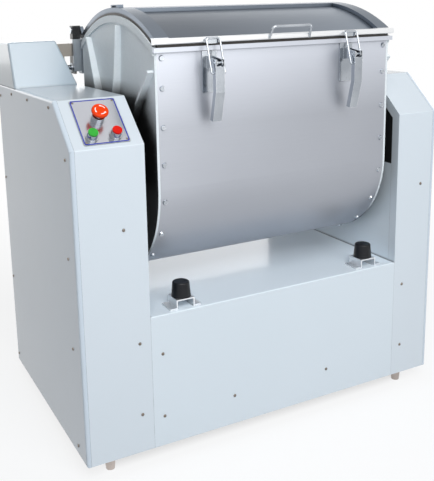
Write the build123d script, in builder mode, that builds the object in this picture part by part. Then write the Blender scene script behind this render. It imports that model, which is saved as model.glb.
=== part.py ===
from build123d import *
import os
from math import acos, cos, hypot, pi, radians, sin, sqrt, tan

os.makedirs("parts", exist_ok=True)

# Whole machine: X runs across the front, Y to the back, Z up from the floor
left_tower_width = 180.0
right_tower_width = 135.0
bay_width = 770.0
deck_height = 350.0
tower_above_axis = 222.0
foot_height = 38.0
chamfer_depth = 110.0
chamfer_height = 102.0
body_behind_drive = 52.9

# Sheet metal and plates
sheet = 2.0
bend = 3.0
seam = 0.3
pan_depth = 11.0
pan_bend = 6.0
return_width = 26.0
wall_thickness = 10.0
wall_inset = 6.0
inner_cover_above_deck = 286.0
frame_tube_height = 40.0
frame_tube_width = 50.0
frame_tube_wall = 3.0

# Trough
axis_depth = 258.0
axis_above_deck = 308.0
trough_radius = 245.0
trough_gap = 38.0
trough_sheet = 4.0
end_thickness = 6.0
rim_above_axis = 336.0
arch_rise = 75.0
rim_bar_depth = 9.0
rim_bar_height = 11.0
rim_overhang_left = 4.0
rim_overhang_right = 7.0
arch_strip_height = 18.0
arch_strip_depth = 4.0
rib_thickness = 8.0
rib_depth = 24.0
rib_tip_depth = 15.0
rib_gap = 1.0
rib_end_gap = 4.0
rib_side_gap = 8.0
rib_angles = (64.0, 97.0, 130.0)

# Lid
gasket_height = 6.4
lid_sheet_thickness = 2.0
lid_frame_height = 10.0
lid_band_width = 38.0
lid_bar_height = 14.0
lid_bar_front_depth = 18.0
lid_bar_rear_depth = 14.0
lid_bar_rear_reach = 6.0
crest_rail_width = 110.0
handle_length = 120.0
handle_height = 29.0
handle_offset = 18.0
handle_rod_radius = 3.2
handle_lean = 25.0
handle_foot_height = 5.0
hinge_behind_bar = 12.0
hinge_above_rim = 34.0
hinge_pin_radius = 6.0
running_clearance = 0.05
moving_clearance = 0.3

# Latches
latch_spacing = 407.0
latch_base_width = 40.0
latch_base_height = 98.0
latch_base_thickness = 3.0
lever_pivot_out = 45.0
lever_pivot_below_rim = 39.0
bail_pivot_drop = 24.0
bail_width = 36.0
bail_wire_radius = 2.5
bail_top_above_rim = 17.0
bail_gap = 1.2
bail_end_overhang = 0.5
bail_bend = 6.0
bail_foot_bend = 3.0
lever_front_out = 8.0
lever_width = 24.0
lever_wall = 2.0

# Shafts and bearings
shaft_radius = 25.0
end_hole_gap = 4.0
shaft_overhang = 12.0
trunnion_overhang = 3.0
seal_radius = 32.0
trunnion_radius = 45.0
trunnion_flange_radius = 75.0
trunnion_flange_thickness = 10.0
housing_spigot_radius = 65.0
housing_flange_radius = 95.0
housing_flange_thickness = 14.0
housing_length = 44.0
housing_bolt_count = 6
housing_bolt_radius = 5.5

# Agitator
mixing_radius = 214.0
mixing_bar_radius = 15.0
arm_width = 44.0
arm_cover = 1.0
agitator_end_gap = 12.0
agitator_hub_radius = 46.0

# Drive
gear_module = 6.0
gear_teeth = 68
pinion_teeth = 17
gear_face = 40.0
pressure_angle = 20.0
tooth_backlash = 0.5
dedendum = 1.25
flank_points = 4
countershaft_angle = 25.0
countershaft_radius = 20.0
cartridge_radius = 46.0
cartridge_flange_radius = 58.0
cartridge_flange_thickness = 12.0
cartridge_length = 68.0
driven_pulley_radius = 108.0
motor_pulley_radius = 46.0
pulley_width = 34.0
belt_width = 12.0
belt_height = 9.0
belt_pitch = 16.0
motor_radius = 95.0
motor_length = 300.0
motor_shaft_height = 108.0
motor_gap = 12.0
drive_gap = 8.0
motor_shaft_radius = 14.0
motor_shaft_chamfer = 1.5
motor_window_margin = 16.0
countershaft_hole_radius = 30.0

# Controls on the sloped console
plate_width = 112.0
plate_height = 132.0
plate_thickness = 2.0
plate_corner = 3.0
plate_from_left = 94.0
plate_up_slope = 77.5
button_spacing = 58.0
button_row = 32.0
buttons_from_left = 90.0
estop_row = 82.0
button_bezel_radius = 14.5
button_cap_radius = 11.5
button_body_radius = 11.0
button_height = 18.0
button_travel = 3.0
estop_head_radius = 20.0
estop_collar_radius = 15.0
estop_stem_radius = 9.0
estop_travel = 5.0

# Buffers on the deck
buffer_inset_left = 103.0
buffer_inset_right = 86.0
buffer_from_front = 38.0
buffer_top_radius = 21.5
buffer_foot_radius = 25.0
buffer_bracket_height = 20.0
buffer_bracket_width = 50.0
buffer_flange_length = 85.0
buffer_plate = 3.0
buffer_gap = 1.0
buffer_bend = 4.0

# Tilt stop and lock behind the left end of the trough
bracket_plate_width = 55.0
bracket_plate_thickness = 8.0
bracket_plate_drop = 92.0
hinge_pin_above_bracket = 24.5
stop_arm_height = 36.0
stop_arm_depth = 40.0
stop_arm_wall = 4.0
hinge_block_width = 24.0
hinge_block_depth = 24.0
hinge_block_height = 38.0
hinge_block_bend = 3.0
hinge_pin_head = 3.0
hinge_pin_head_radius = 9.0
lock_pin_radius = 8.0
lock_pin_chamfer = 1.5
lock_travel = 14.0
lock_lug_thickness = 8.0
lock_lug_radius = 18.0
lock_lug_inset = 0.5
lock_drop = 34.0
lock_tip_gap = 2.0
lock_housing_length = 14.0
lock_hanger_thickness = 5.0
lock_nut_radius = 15.0
lock_spigot_radius = 11.0
lock_knob_radius = 11.0
lock_knob_length = 10.0
stop_arm_drop = 12.0
stop_arm_overlap = 16.0

# Drive hood behind the left tower's shelf
hood_depth = 200.0
hood_height = 123.0
hood_lean = 44.0
hood_bend = 7.0
hood_window_sill = 18.0
hood_window_length = 69.0

# Fasteners
cover_screw_radius = 4.0
cover_screw_height = 2.5
dome_bolt_radius = 7.0
dome_bolt_height = 4.0

# Cable inlet at the back of the left tower
inlet_from_left = 60.0
inlet_height = 60.0
inlet_flange_radius = 20.0
inlet_body_radius = 14.0
inlet_bore_radius = 8.0
inlet_length = 22.0
inlet_nut_height = 6.0

# Overshoot of a cutting tool past the face it cuts
cut = 1.0

# Heights and depths that follow one another, from the deck and the front
centre_distance = gear_module * (gear_teeth + pinion_teeth) / 2
countershaft_depth = centre_distance * cos(radians(countershaft_angle))
body_depth = axis_depth + countershaft_depth + driven_pulley_radius + body_behind_drive
axis_height = deck_height + axis_above_deck
tower_height = axis_height + tower_above_axis
inner_cover_height = deck_height + inner_cover_above_deck
rim_height = axis_height + rim_above_axis
hinge_height = rim_height + hinge_above_rim
hinge_depth = axis_depth + trough_radius + rim_bar_depth + hinge_behind_bar
lever_pivot_height = rim_height - lever_pivot_below_rim
bail_top_height = rim_height + bail_top_above_rim

# Stations worked out from the sizes above
overall_width = left_tower_width + bay_width + right_tower_width
left_outer = -overall_width / 2
left_inner = left_outer + left_tower_width
right_inner = left_inner + bay_width
right_outer = overall_width / 2
latch_overhang = lever_pivot_out + lever_front_out - (axis_depth - trough_radius)
front = -(body_depth + cover_screw_height - latch_overhang) / 2
back = front + body_depth
bottom = foot_height
tower_top = bottom + tower_height
chamfer_bottom = tower_top - chamfer_height
deck_top = bottom + deck_height
frame_top = bottom + frame_tube_height
slope_length = hypot(chamfer_depth, chamfer_height)
axis_y = front + axis_depth
axis_z = bottom + axis_height
trough_left = left_inner + trough_gap
trough_right = right_inner - trough_gap
trough_middle = (trough_left + trough_right) / 2
trough_front = axis_y - trough_radius
trough_back = axis_y + trough_radius
rim_z = bottom + rim_height
arch_radius = (trough_radius**2 + arch_rise**2) / (2 * arch_rise)
arch_z = rim_z + arch_rise - arch_radius
lid_under = arch_radius + gasket_height + moving_clearance
lid_rise = lid_sheet_thickness + seam
lid_outside = lid_under + lid_rise + lid_frame_height
lid_bar_z = rim_z + gasket_height + moving_clearance
hinge_y = front + hinge_depth
hinge_z = bottom + hinge_height
left_wall_bay = left_inner - sheet - seam
right_wall_bay = right_inner + sheet + seam
counter_y = axis_y + countershaft_depth
counter_z = axis_z + centre_distance * sin(radians(countershaft_angle))
gear_right = left_wall_bay - wall_thickness - cartridge_length - drive_gap
gear_left = gear_right - gear_face
pulley_right = gear_left - drive_gap
pulley_left = pulley_right - pulley_width
motor_z = frame_top + motor_shaft_height
motor_front_x = pulley_right + motor_gap


def tower_points(inset, back_edge, floor_edge):
    """Corners of a tower's side outline, with its front, chamfer and top set in."""
    steep = chamfer_height / chamfer_depth
    line_y = front + inset * chamfer_height / slope_length
    line_z = chamfer_bottom - inset * chamfer_depth / slope_length
    low_y = front + inset
    low_z = line_z + (low_y - line_y) * steep
    high_z = tower_top - inset
    high_y = line_y + (high_z - line_z) / steep
    front_points = [(low_y, floor_edge), (low_y, low_z), (high_y, high_z)]
    return front_points + [(back_edge, high_z), (back_edge, floor_edge)]


def finish(piece, name):
    """Label a finished piece and write its STEP file."""
    piece.part.label = name
    export_step(piece.part, f"parts/{name}.step")


def rod(x_from, x_to, radius, y, z, mode=Mode.ADD):
    """Cylinder along X between two stations."""
    with Locations(((x_from + x_to) / 2, y, z)):
        Cylinder(radius, abs(x_to - x_from), rotation=(0, 90, 0), mode=mode)


def block(x_range, y_range, z_range, mode=Mode.ADD):
    """Rectangular block between two corners."""
    centre = [(low + high) / 2 for low, high in (x_range, y_range, z_range)]
    size = [abs(high - low) for low, high in (x_range, y_range, z_range)]
    with Locations(tuple(centre)):
        Box(*size, mode=mode)


def arch_point(radius, offset):
    """Point on an arch about the trough's arch centre, at a distance from the middle."""
    return (axis_y + offset, arch_z + sqrt(radius**2 - offset**2))


# Frame under the covers
rail_stations = (front + wall_inset, back - wall_inset - frame_tube_width)
tube_inset = 16.0
motor_tube_inset = 70.0
cross_stations = (
    left_outer + tube_inset,
    left_wall_bay - wall_thickness - frame_tube_width,
    left_inner + motor_tube_inset,
    trough_middle,
    right_wall_bay,
    right_outer - tube_inset - frame_tube_width,
)
with BuildPart() as base_frame:
    for rail_y in rail_stations:
        with BuildSketch(Plane.YZ.offset(left_outer + tube_inset)):
            with Locations((rail_y + frame_tube_width / 2, bottom + frame_tube_height / 2)):
                Rectangle(frame_tube_width, frame_tube_height)
                Rectangle(
                    frame_tube_width - 2 * frame_tube_wall,
                    frame_tube_height - 2 * frame_tube_wall,
                    mode=Mode.SUBTRACT,
                )
        extrude(amount=overall_width - 2 * tube_inset)
    for cross_x in cross_stations:
        with BuildSketch(Plane.XZ.offset(-(rail_stations[0] + frame_tube_width))):
            with Locations((cross_x + frame_tube_width / 2, bottom + frame_tube_height / 2)):
                Rectangle(frame_tube_width, frame_tube_height)
                Rectangle(
                    frame_tube_width - 2 * frame_tube_wall,
                    frame_tube_height - 2 * frame_tube_wall,
                    mode=Mode.SUBTRACT,
                )
        extrude(amount=-(rail_stations[1] - rail_stations[0] - frame_tube_width))
finish(base_frame, "base_frame")

# Feet: short tapered steel legs under the rails
foot_top_radius = 15.0
foot_bottom_radius = 11.0
foot_from_left = 70.0
foot_from_right = 88.0
foot_spots = [
    (foot_x, rail_y + frame_tube_width / 2)
    for foot_x in (left_outer + foot_from_left, right_outer - foot_from_right)
    for rail_y in rail_stations
]
with BuildPart() as feet:
    with Locations(*[(foot_x, foot_y, 0) for foot_x, foot_y in foot_spots]):
        Cone(foot_bottom_radius, foot_top_radius, foot_height, align=(Align.CENTER, Align.CENTER, Align.MIN))
finish(feet, "feet")


# Wall plates: the load-bearing inner walls of the towers
motor_window_width = 2 * motor_radius + 2 * motor_window_margin
motor_window_top = motor_z + motor_radius + motor_window_margin


def wall_plate(bay_face, side, motor_window):
    """Bearing plate of one tower; side is -1 on the left and 1 on the right."""
    with BuildPart() as plate:
        with BuildSketch(Plane.YZ.offset(bay_face)):
            Polygon(*tower_points(wall_inset, back - wall_inset, frame_top), align=None)
            with Locations((axis_y, axis_z)):
                Circle(housing_spigot_radius + seam, mode=Mode.SUBTRACT)
            if motor_window:
                with Locations((counter_y, counter_z)):
                    Circle(countershaft_hole_radius, mode=Mode.SUBTRACT)
                with Locations((counter_y, (frame_top + motor_window_top) / 2)):
                    Rectangle(motor_window_width, motor_window_top - frame_top, mode=Mode.SUBTRACT)
        extrude(amount=side * wall_thickness)
    return plate


left_wall_plate = wall_plate(left_wall_bay, -1, True)
finish(left_wall_plate, "left_wall_plate")
right_wall_plate = wall_plate(right_wall_bay, 1, False)
finish(right_wall_plate, "right_wall_plate")


# Covers
def front_cover(x_outer, bay_face, shelf_end, control_holes=()):
    """Front, sloped console and shelf bent from one sheet, with a return on the bay side."""
    side = 1 if bay_face > x_outer else -1
    with BuildPart() as cover:
        with BuildSketch(Plane.YZ.offset(x_outer)):
            with BuildLine():
                FilletPolyline(*tower_points(0, shelf_end, bottom), radius=[0, bend, bend, 0, 0], close=True)
            make_face()
        extrude(amount=bay_face - x_outer)
        with BuildSketch(Plane.YZ.offset(x_outer)):
            with BuildLine():
                inner_bend = bend - sheet
                inner_points = tower_points(sheet, shelf_end, bottom)
                FilletPolyline(*inner_points, radius=[0, inner_bend, inner_bend, 0, 0], close=True)
            make_face()
        extrude(amount=bay_face - x_outer - side * sheet, mode=Mode.SUBTRACT)
        with BuildSketch(Plane.YZ.offset(bay_face)):
            Polygon(*tower_points(return_width, shelf_end, bottom), align=None)
        extrude(amount=-side * 2 * sheet, mode=Mode.SUBTRACT)
        block(
            (bay_face - side * 2 * sheet, bay_face + side * sheet),
            (rail_stations[0] - seam, front + 2 * return_width),
            (bottom - seam, frame_top + seam),
            mode=Mode.SUBTRACT,
        )
        if control_holes:
            with BuildSketch(console):
                with Locations(*control_holes):
                    Circle(button_body_radius + seam)
            extrude(amount=2 * sheet, both=True, mode=Mode.SUBTRACT)
    return cover


def side_cover(outer_face, side):
    """Side panel pressed as a shallow pan with rounded folded edges."""
    with BuildPart() as cover:
        with BuildSketch(Plane.YZ.offset(outer_face)):
            Polygon(*tower_points(0, back, bottom), align=None)
        extrude(amount=-side * pan_depth)
        outside = cover.faces().sort_by(Axis.X)[-1 if side > 0 else 0]
        fillet(outside.edges(), pan_bend)
        offset(amount=-sheet, openings=cover.faces().sort_by(Axis.X)[0 if side > 0 else -1])
    return cover


console = Plane(
    origin=(
        left_outer + plate_from_left,
        front + plate_up_slope * chamfer_depth / slope_length,
        chamfer_bottom + plate_up_slope * chamfer_height / slope_length,
    ),
    x_dir=(1, 0, 0),
    z_dir=(0, -chamfer_height, chamfer_depth),
)
button_x = buttons_from_left - plate_from_left
start_spot = (button_x - button_spacing / 2, button_row - plate_up_slope)
stop_spot = (button_x + button_spacing / 2, button_row - plate_up_slope)
estop_spot = (button_x, estop_row - plate_up_slope)
control_spots = (start_spot, stop_spot, estop_spot)
inlet_spot = (left_outer + inlet_from_left, bottom + inlet_height)
hood_front = back - hood_depth
hood_lip = 12.0

left_cover_edge = left_outer + pan_depth + seam
right_cover_edge = right_outer - pan_depth - seam
left_front_cover = front_cover(left_cover_edge, left_inner, hood_front + hood_lip, control_spots)
finish(left_front_cover, "left_front_cover")
right_front_cover = front_cover(right_cover_edge, right_inner, back - sheet - seam)
finish(right_front_cover, "right_front_cover")
left_side_cover = side_cover(left_outer, -1)
finish(left_side_cover, "left_side_cover")
right_side_cover = side_cover(right_outer, 1)
finish(right_side_cover, "right_side_cover")

louvre_length = 70.0
louvre_height = 6.0
louvre_pitch = 18.0
louvre_count = 6
louvre_height_above_bottom = 150.0


def rear_cover(x_low, x_high, louvres):
    """Flat back of a tower, with a block of cooling slots where the motor sits behind it."""
    with BuildPart() as cover:
        with BuildSketch(Plane.XZ.offset(-(back - sheet))):
            with Locations(((x_low + x_high) / 2, (bottom + tower_top) / 2)):
                Rectangle(x_high - x_low, tower_height)
            if louvres:
                with Locations(((x_low + x_high) / 2, bottom + louvre_height_above_bottom)):
                    with GridLocations(0, louvre_pitch, 1, louvre_count):
                        SlotOverall(louvre_length, louvre_height, mode=Mode.SUBTRACT)
                with Locations(inlet_spot):
                    Circle(inlet_body_radius + seam, mode=Mode.SUBTRACT)
        extrude(amount=-sheet)
    return cover


left_rear_cover = rear_cover(left_cover_edge, left_inner, True)
finish(left_rear_cover, "left_rear_cover")
right_rear_cover = rear_cover(right_cover_edge, right_inner, False)
finish(right_rear_cover, "right_rear_cover")

# Inner covers close the bay side of each tower up to the trough's hub
hub_notch_gap = 8.0
hub_notch_radius = housing_spigot_radius + hub_notch_gap


def inner_cover(bay_face, side):
    """Panel on the bay side, notched around the trough's hub."""
    low_y = front + return_width + seam
    high_y = back - sheet - seam
    top_z = bottom + inner_cover_height
    with BuildPart() as cover:
        with BuildSketch(Plane.YZ.offset(bay_face)):
            with Locations(((low_y + high_y) / 2, (deck_top + seam + top_z) / 2)):
                Rectangle(high_y - low_y, top_z - deck_top - seam)
            with Locations((axis_y, axis_z)):
                Circle(hub_notch_radius, mode=Mode.SUBTRACT)
        extrude(amount=side * sheet)
    return cover


left_inner_cover = inner_cover(left_inner, -1)
finish(left_inner_cover, "left_inner_cover")
right_inner_cover = inner_cover(right_inner, 1)
finish(right_inner_cover, "right_inner_cover")

# Deck and front panel in one bent sheet, and the panel that closes the back
with BuildPart() as deck_panel:
    with BuildSketch(Plane.YZ.offset(left_inner + seam)):
        with BuildLine():
            deck_end = back - sheet - seam
            under_deck = deck_top - sheet
            outer_fold = FilletPolyline((front, bottom), (front, deck_top), (deck_end, deck_top), radius=bend)
            inner_fold = FilletPolyline(
                (front + sheet, bottom),
                (front + sheet, under_deck),
                (deck_end, under_deck),
                radius=bend - sheet,
            )
            Line(outer_fold @ 0, inner_fold @ 0)
            Line(outer_fold @ 1, inner_fold @ 1)
        make_face()
    extrude(amount=bay_width - 2 * seam)
finish(deck_panel, "deck_panel")

with BuildPart() as rear_panel:
    with BuildSketch(Plane.XZ.offset(-(back - sheet))):
        with Locations(((left_inner + right_inner) / 2, (bottom + deck_top) / 2)):
            Rectangle(bay_width - 2 * seam, deck_height)
        with Locations((left_inner + bay_width / 4, bottom + louvre_height_above_bottom)):
            with GridLocations(0, louvre_pitch, 1, louvre_count):
                SlotOverall(2 * louvre_length, louvre_height, mode=Mode.SUBTRACT)
    extrude(amount=-sheet)
finish(rear_panel, "rear_panel")

# Drive hood: leans back at the front and in at the bay side
hood_window_low = tower_top + hood_window_sill
hood_window_depth = (trough_back + bend, trough_back + bend + hood_window_length)
hood_window_high = hinge_z - hinge_pin_above_bracket - stop_arm_drop + bend
with BuildPart() as drive_hood:
    with BuildSketch(Plane.XY.offset(tower_top)):
        with Locations(((left_outer + left_inner) / 2, (hood_front + back) / 2)):
            Rectangle(left_tower_width, hood_depth)
    with BuildSketch(Plane.XY.offset(tower_top + hood_height)):
        with Locations(((left_outer + left_inner - hood_lean) / 2, (hood_front + hood_lean + back) / 2)):
            Rectangle(left_tower_width - hood_lean, hood_depth - hood_lean)
    loft()
    fillet(drive_hood.edges().filter_by(Axis.Z, reverse=True).group_by(Axis.Z)[1:], hood_bend)
    offset(amount=-sheet, openings=drive_hood.faces().sort_by(Axis.Z)[0])
    block(
        (left_inner - 2 * hood_lean, left_inner + seam),
        hood_window_depth,
        (hood_window_low, hood_window_high),
        mode=Mode.SUBTRACT,
    )
finish(drive_hood, "drive_hood")

# Bearing housings bolted on the tower side of the wall plates
def bearing_housing(wall_face, side):
    """Flanged housing whose spigot fills the wall plate's hole."""
    tower_face = wall_face + side * wall_thickness
    with BuildPart() as housing:
        rod(wall_face, tower_face, housing_spigot_radius, axis_y, axis_z)
        rod(tower_face, tower_face + side * housing_flange_thickness, housing_flange_radius, axis_y, axis_z)
        rod(tower_face, tower_face + side * housing_length, housing_spigot_radius, axis_y, axis_z)
        bore = trunnion_radius + running_clearance
        bore_end = tower_face + side * (housing_length + cut)
        rod(wall_face - side * cut, bore_end, bore, axis_y, axis_z, Mode.SUBTRACT)
        with BuildSketch(Plane.YZ.offset(tower_face)):
            with Locations((axis_y, axis_z)):
                bolt_circle = (housing_spigot_radius + housing_flange_radius) / 2
                with PolarLocations(bolt_circle, housing_bolt_count, 30):
                    Circle(housing_bolt_radius)
        extrude(amount=side * housing_flange_thickness, mode=Mode.SUBTRACT)
    return housing


left_housing = bearing_housing(left_wall_bay, -1)
right_housing = bearing_housing(right_wall_bay, 1)
with BuildPart() as bearing_housings:
    add(left_housing.part)
    add(right_housing.part)
finish(bearing_housings, "bearing_housings")

# Trough shell: a U of sheet with square rim bars along its front and back edges
shell_left = trough_left + end_thickness
shell_right = trough_right - end_thickness
with BuildPart() as trough_shell:
    with BuildSketch(Plane.YZ.offset(shell_left)):
        with Locations((axis_y, axis_z)):
            Circle(trough_radius)
            Rectangle(2 * trough_radius, rim_z - axis_z, align=(Align.CENTER, Align.MIN))
            Circle(trough_radius - trough_sheet, mode=Mode.SUBTRACT)
            Rectangle(
                2 * (trough_radius - trough_sheet),
                rim_z - axis_z,
                align=(Align.CENTER, Align.MIN),
                mode=Mode.SUBTRACT,
            )
    extrude(amount=shell_right - shell_left)
    rim_low = rim_z - rim_bar_height
    block(
        (trough_left - rim_overhang_left, trough_right + rim_overhang_right),
        (trough_front - rim_bar_depth, trough_front),
        (rim_low, rim_z),
    )
    block((trough_left, trough_right), (trough_back, trough_back + rim_bar_depth), (rim_low, rim_z))
finish(trough_shell, "trough_shell")

# End plates: U-shaped below the rim, arched above it, with three ribs running out from the hub
rib_start = trunnion_flange_radius + rib_gap


def rib_reach(angle):
    """Distance from the hub to the inner edge of the arch strip or the plate's side."""
    inner_arch = arch_radius - arch_strip_height - rib_end_gap
    rise = arch_z - axis_z
    along = rise * sin(radians(angle))
    to_arch = along + sqrt(inner_arch**2 - rise**2 + along**2)
    to_side = (trough_radius - rib_side_gap) / abs(cos(radians(angle)))
    return min(to_arch, to_side)


def end_plate(inside_face, side):
    """End plate whose outside carries the arch strip and the ribs."""
    outside_face = inside_face + side * end_thickness
    with BuildPart() as plate:
        with BuildSketch(Plane.YZ.offset(inside_face)):
            with Locations((axis_y, axis_z)):
                Circle(trough_radius)
                Rectangle(2 * trough_radius, rim_z - axis_z, align=(Align.CENTER, Align.MIN))
            with BuildLine():
                crown = ThreePointArc(
                    arch_point(arch_radius, -trough_radius),
                    arch_point(arch_radius, 0),
                    arch_point(arch_radius, trough_radius),
                )
                Line(crown @ 1, crown @ 0)
            make_face()
            with Locations((axis_y, axis_z)):
                Circle(shaft_radius + end_hole_gap, mode=Mode.SUBTRACT)
        extrude(amount=side * end_thickness)
        with BuildSketch(Plane.YZ.offset(outside_face)):
            with BuildLine():
                high = ThreePointArc(
                    arch_point(arch_radius, -trough_radius),
                    arch_point(arch_radius, 0),
                    arch_point(arch_radius, trough_radius),
                )
                low = ThreePointArc(
                    (axis_y - trough_radius, rim_z - arch_strip_height),
                    arch_point(arch_radius - arch_strip_height, 0),
                    (axis_y + trough_radius, rim_z - arch_strip_height),
                )
                Line(high @ 0, low @ 0)
                Line(high @ 1, low @ 1)
            make_face()
        extrude(amount=side * arch_strip_depth)
        for angle in rib_angles:
            reach = rib_reach(angle)
            rib_plane = Plane(
                origin=(outside_face, axis_y, axis_z),
                x_dir=(0, cos(radians(angle)), sin(radians(angle))),
                z_dir=(0, -sin(radians(angle)), cos(radians(angle))),
            )
            out = 1 if rib_plane.y_dir.X * side > 0 else -1
            with BuildSketch(rib_plane):
                tip = (reach, out * rib_tip_depth)
                Polygon((rib_start, 0), (reach, 0), tip, (rib_start, out * rib_depth), align=None)
            extrude(amount=rib_thickness / 2, both=True)
    return plate


left_end_plate = end_plate(shell_left, -1)
finish(left_end_plate, "left_end_plate")
right_end_plate = end_plate(shell_right, 1)
finish(right_end_plate, "right_end_plate")


# Trunnions: flanged hollow journals on which the trough tilts, with packing bushes for the shaft
def trunnion(plate_face, side):
    """Flange bolted on the end plate with a hollow journal that runs in the housing."""
    wall_face = left_wall_bay if side < 0 else right_wall_bay
    journal_end = wall_face + side * (wall_thickness + housing_length + trunnion_overhang)
    with BuildPart() as journal:
        rod(plate_face, plate_face + side * trunnion_flange_thickness, trunnion_flange_radius, axis_y, axis_z)
        rod(plate_face, journal_end, trunnion_radius, axis_y, axis_z)
        rod(plate_face - side * cut, journal_end + side * cut, seal_radius, axis_y, axis_z, Mode.SUBTRACT)
    return journal


left_trunnion = trunnion(trough_left, -1)
right_trunnion = trunnion(trough_right, 1)
with BuildPart() as trunnions:
    add(left_trunnion.part)
    add(right_trunnion.part)
finish(trunnions, "trunnions")
seal_length = 40.0
with BuildPart() as shaft_seals:
    for seal_face, side in ((trough_left, -1), (trough_right, 1)):
        rod(seal_face, seal_face + side * seal_length, seal_radius, axis_y, axis_z)
        bore = shaft_radius + running_clearance
        bore_end = seal_face + side * (seal_length + cut)
        rod(seal_face - side * cut, bore_end, bore, axis_y, axis_z, Mode.SUBTRACT)
finish(shaft_seals, "shaft_seals")

# Dome bolts down the front, under the bottom and up the back, at both ends of the trough
bolt_from_edge = 12.0
bolt_drops = (24.0, 94.0, 186.0, 276.0, 367.0)
bolt_pitch = 91.0
straight_run = rim_z - axis_z
quarter_run = trough_radius * pi / 2
bolt_runs = list(bolt_drops)
while bolt_runs[-1] + bolt_pitch < straight_run + quarter_run - bolt_pitch / 3:
    bolt_runs.append(bolt_runs[-1] + bolt_pitch)


def wall_frame(run, facing):
    """Spot and direction on the outside of the shell, down from the rim; facing is -1 in front."""
    if run <= straight_run:
        return (axis_y + facing * trough_radius, rim_z - run), (facing, 0.0)
    turn = (run - straight_run) / trough_radius
    direction = (facing * cos(turn), -sin(turn))
    return (axis_y + trough_radius * direction[0], axis_z + trough_radius * direction[1]), direction


with BuildPart() as trough_bolts:
    for bolt_x in (shell_left + bolt_from_edge, shell_right - bolt_from_edge):
        for facing in (-1, 1):
            for run in bolt_runs:
                spot, outward = wall_frame(run, facing)
                with BuildSketch(Plane(origin=(bolt_x, *spot), x_dir=(1, 0, 0), z_dir=(0, *outward))):
                    Circle(dome_bolt_radius)
                extrude(amount=dome_bolt_height, taper=25)
finish(trough_bolts, "trough_bolts")

# Lid: arched bands at both ends, front and rear bars, a crest rail, and one arched sheet under them
lid_front_edge = trough_front - (lid_bar_front_depth - trough_sheet)
lid_rear_edge = trough_back + lid_bar_rear_reach
rear_bar_y = lid_rear_edge - lid_bar_rear_depth / 2
lid_bar_bend = 4.0
full_reach = (-trough_radius, trough_radius)
sheet_reach = (
    lid_front_edge + lid_bar_front_depth + seam - axis_y,
    lid_rear_edge - lid_bar_rear_depth - seam - axis_y,
)


def arched_strip(x_low, x_high, inner, outer, reach):
    """Solid strip between two arches; reach is its front and rear end from the trough's middle."""
    with BuildPart() as strip:
        with BuildSketch(Plane.YZ.offset(x_low)):
            with BuildLine():
                over = ThreePointArc(*[arch_point(outer, offset) for offset in (reach[0], 0, reach[1])])
                under = ThreePointArc(*[arch_point(inner, offset) for offset in (reach[0], 0, reach[1])])
                Line(over @ 0, under @ 0)
                Line(over @ 1, under @ 1)
            make_face()
        extrude(amount=x_high - x_low)
    return strip


lid_frame_under = lid_under + lid_rise
catch_width = 34.0
catch_height = 16.0
catch_plate = 3.0
catch_drop = 2.0
catch_corner = 3.0
latch_stations = (trough_middle - latch_spacing / 2, trough_middle + latch_spacing / 2)
left_band_end = trough_left + lid_band_width
right_band_start = trough_right - lid_band_width
left_band = arched_strip(trough_left, left_band_end, lid_frame_under, lid_outside, full_reach)
right_band = arched_strip(right_band_start, trough_right, lid_frame_under, lid_outside, full_reach)
crest_reach = (-crest_rail_width / 2, crest_rail_width / 2)
crest_rail = arched_strip(trough_left, trough_right, lid_frame_under, lid_outside, crest_reach)
hinge_knuckle_radius = 11.0
hinge_arm_width = 10.0
crest_plate_length = 46.0
crest_plate_width = 16.0
crest_plate_inset = 5.0
crest_plate_rise = 5.0
crest_leg_length = 8.0
hinge_arm_stations = (trough_left, trough_right - hinge_arm_width)
with BuildPart() as lid_frame:
    add(left_band.part)
    add(right_band.part)
    add(crest_rail.part)
    with BuildSketch(Plane.YZ.offset(trough_left - rim_overhang_left)):
        with Locations((lid_front_edge + lid_bar_front_depth / 2, lid_bar_z + lid_bar_height / 2)):
            RectangleRounded(lid_bar_front_depth, lid_bar_height, lid_bar_bend)
    extrude(amount=trough_right + rim_overhang_right - trough_left + rim_overhang_left)
    with BuildSketch(Plane.YZ.offset(trough_left)):
        with Locations((rear_bar_y, lid_bar_z + lid_bar_height / 2)):
            RectangleRounded(lid_bar_rear_depth, lid_bar_height, lid_bar_bend)
    extrude(amount=trough_right - trough_left)
    crest_top = arch_z + lid_outside
    crest_plate_x = (trough_left + crest_plate_inset, trough_left + crest_plate_inset + crest_plate_width)
    block(
        crest_plate_x,
        (axis_y - crest_plate_length / 2, axis_y + crest_plate_length / 2),
        (crest_top + crest_plate_rise, crest_top + crest_plate_rise + sheet),
    )
    crest_leg_z = (crest_top - sheet, crest_top + crest_plate_rise)
    for leg_y in (axis_y - crest_plate_length / 2, axis_y + crest_plate_length / 2 - crest_leg_length):
        block(crest_plate_x, (leg_y, leg_y + crest_leg_length), crest_leg_z)
    for arm_x in hinge_arm_stations:
        with BuildSketch(Plane.YZ.offset(arm_x)):
            with BuildLine():
                CenterArc((hinge_y, hinge_z), hinge_knuckle_radius, 0, 360)
                CenterArc((rear_bar_y, lid_bar_z + lid_bar_height / 2), lid_bar_height / 2, 0, 360)
            make_hull()
            with Locations((hinge_y, hinge_z)):
                Circle(hinge_pin_radius + running_clearance, mode=Mode.SUBTRACT)
        extrude(amount=hinge_arm_width)
finish(lid_frame, "lid_frame")

lid_sheet = arched_strip(
    trough_left + seam, trough_right - seam, lid_under, lid_under + lid_sheet_thickness, sheet_reach
)
finish(lid_sheet, "lid_sheet")

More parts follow.
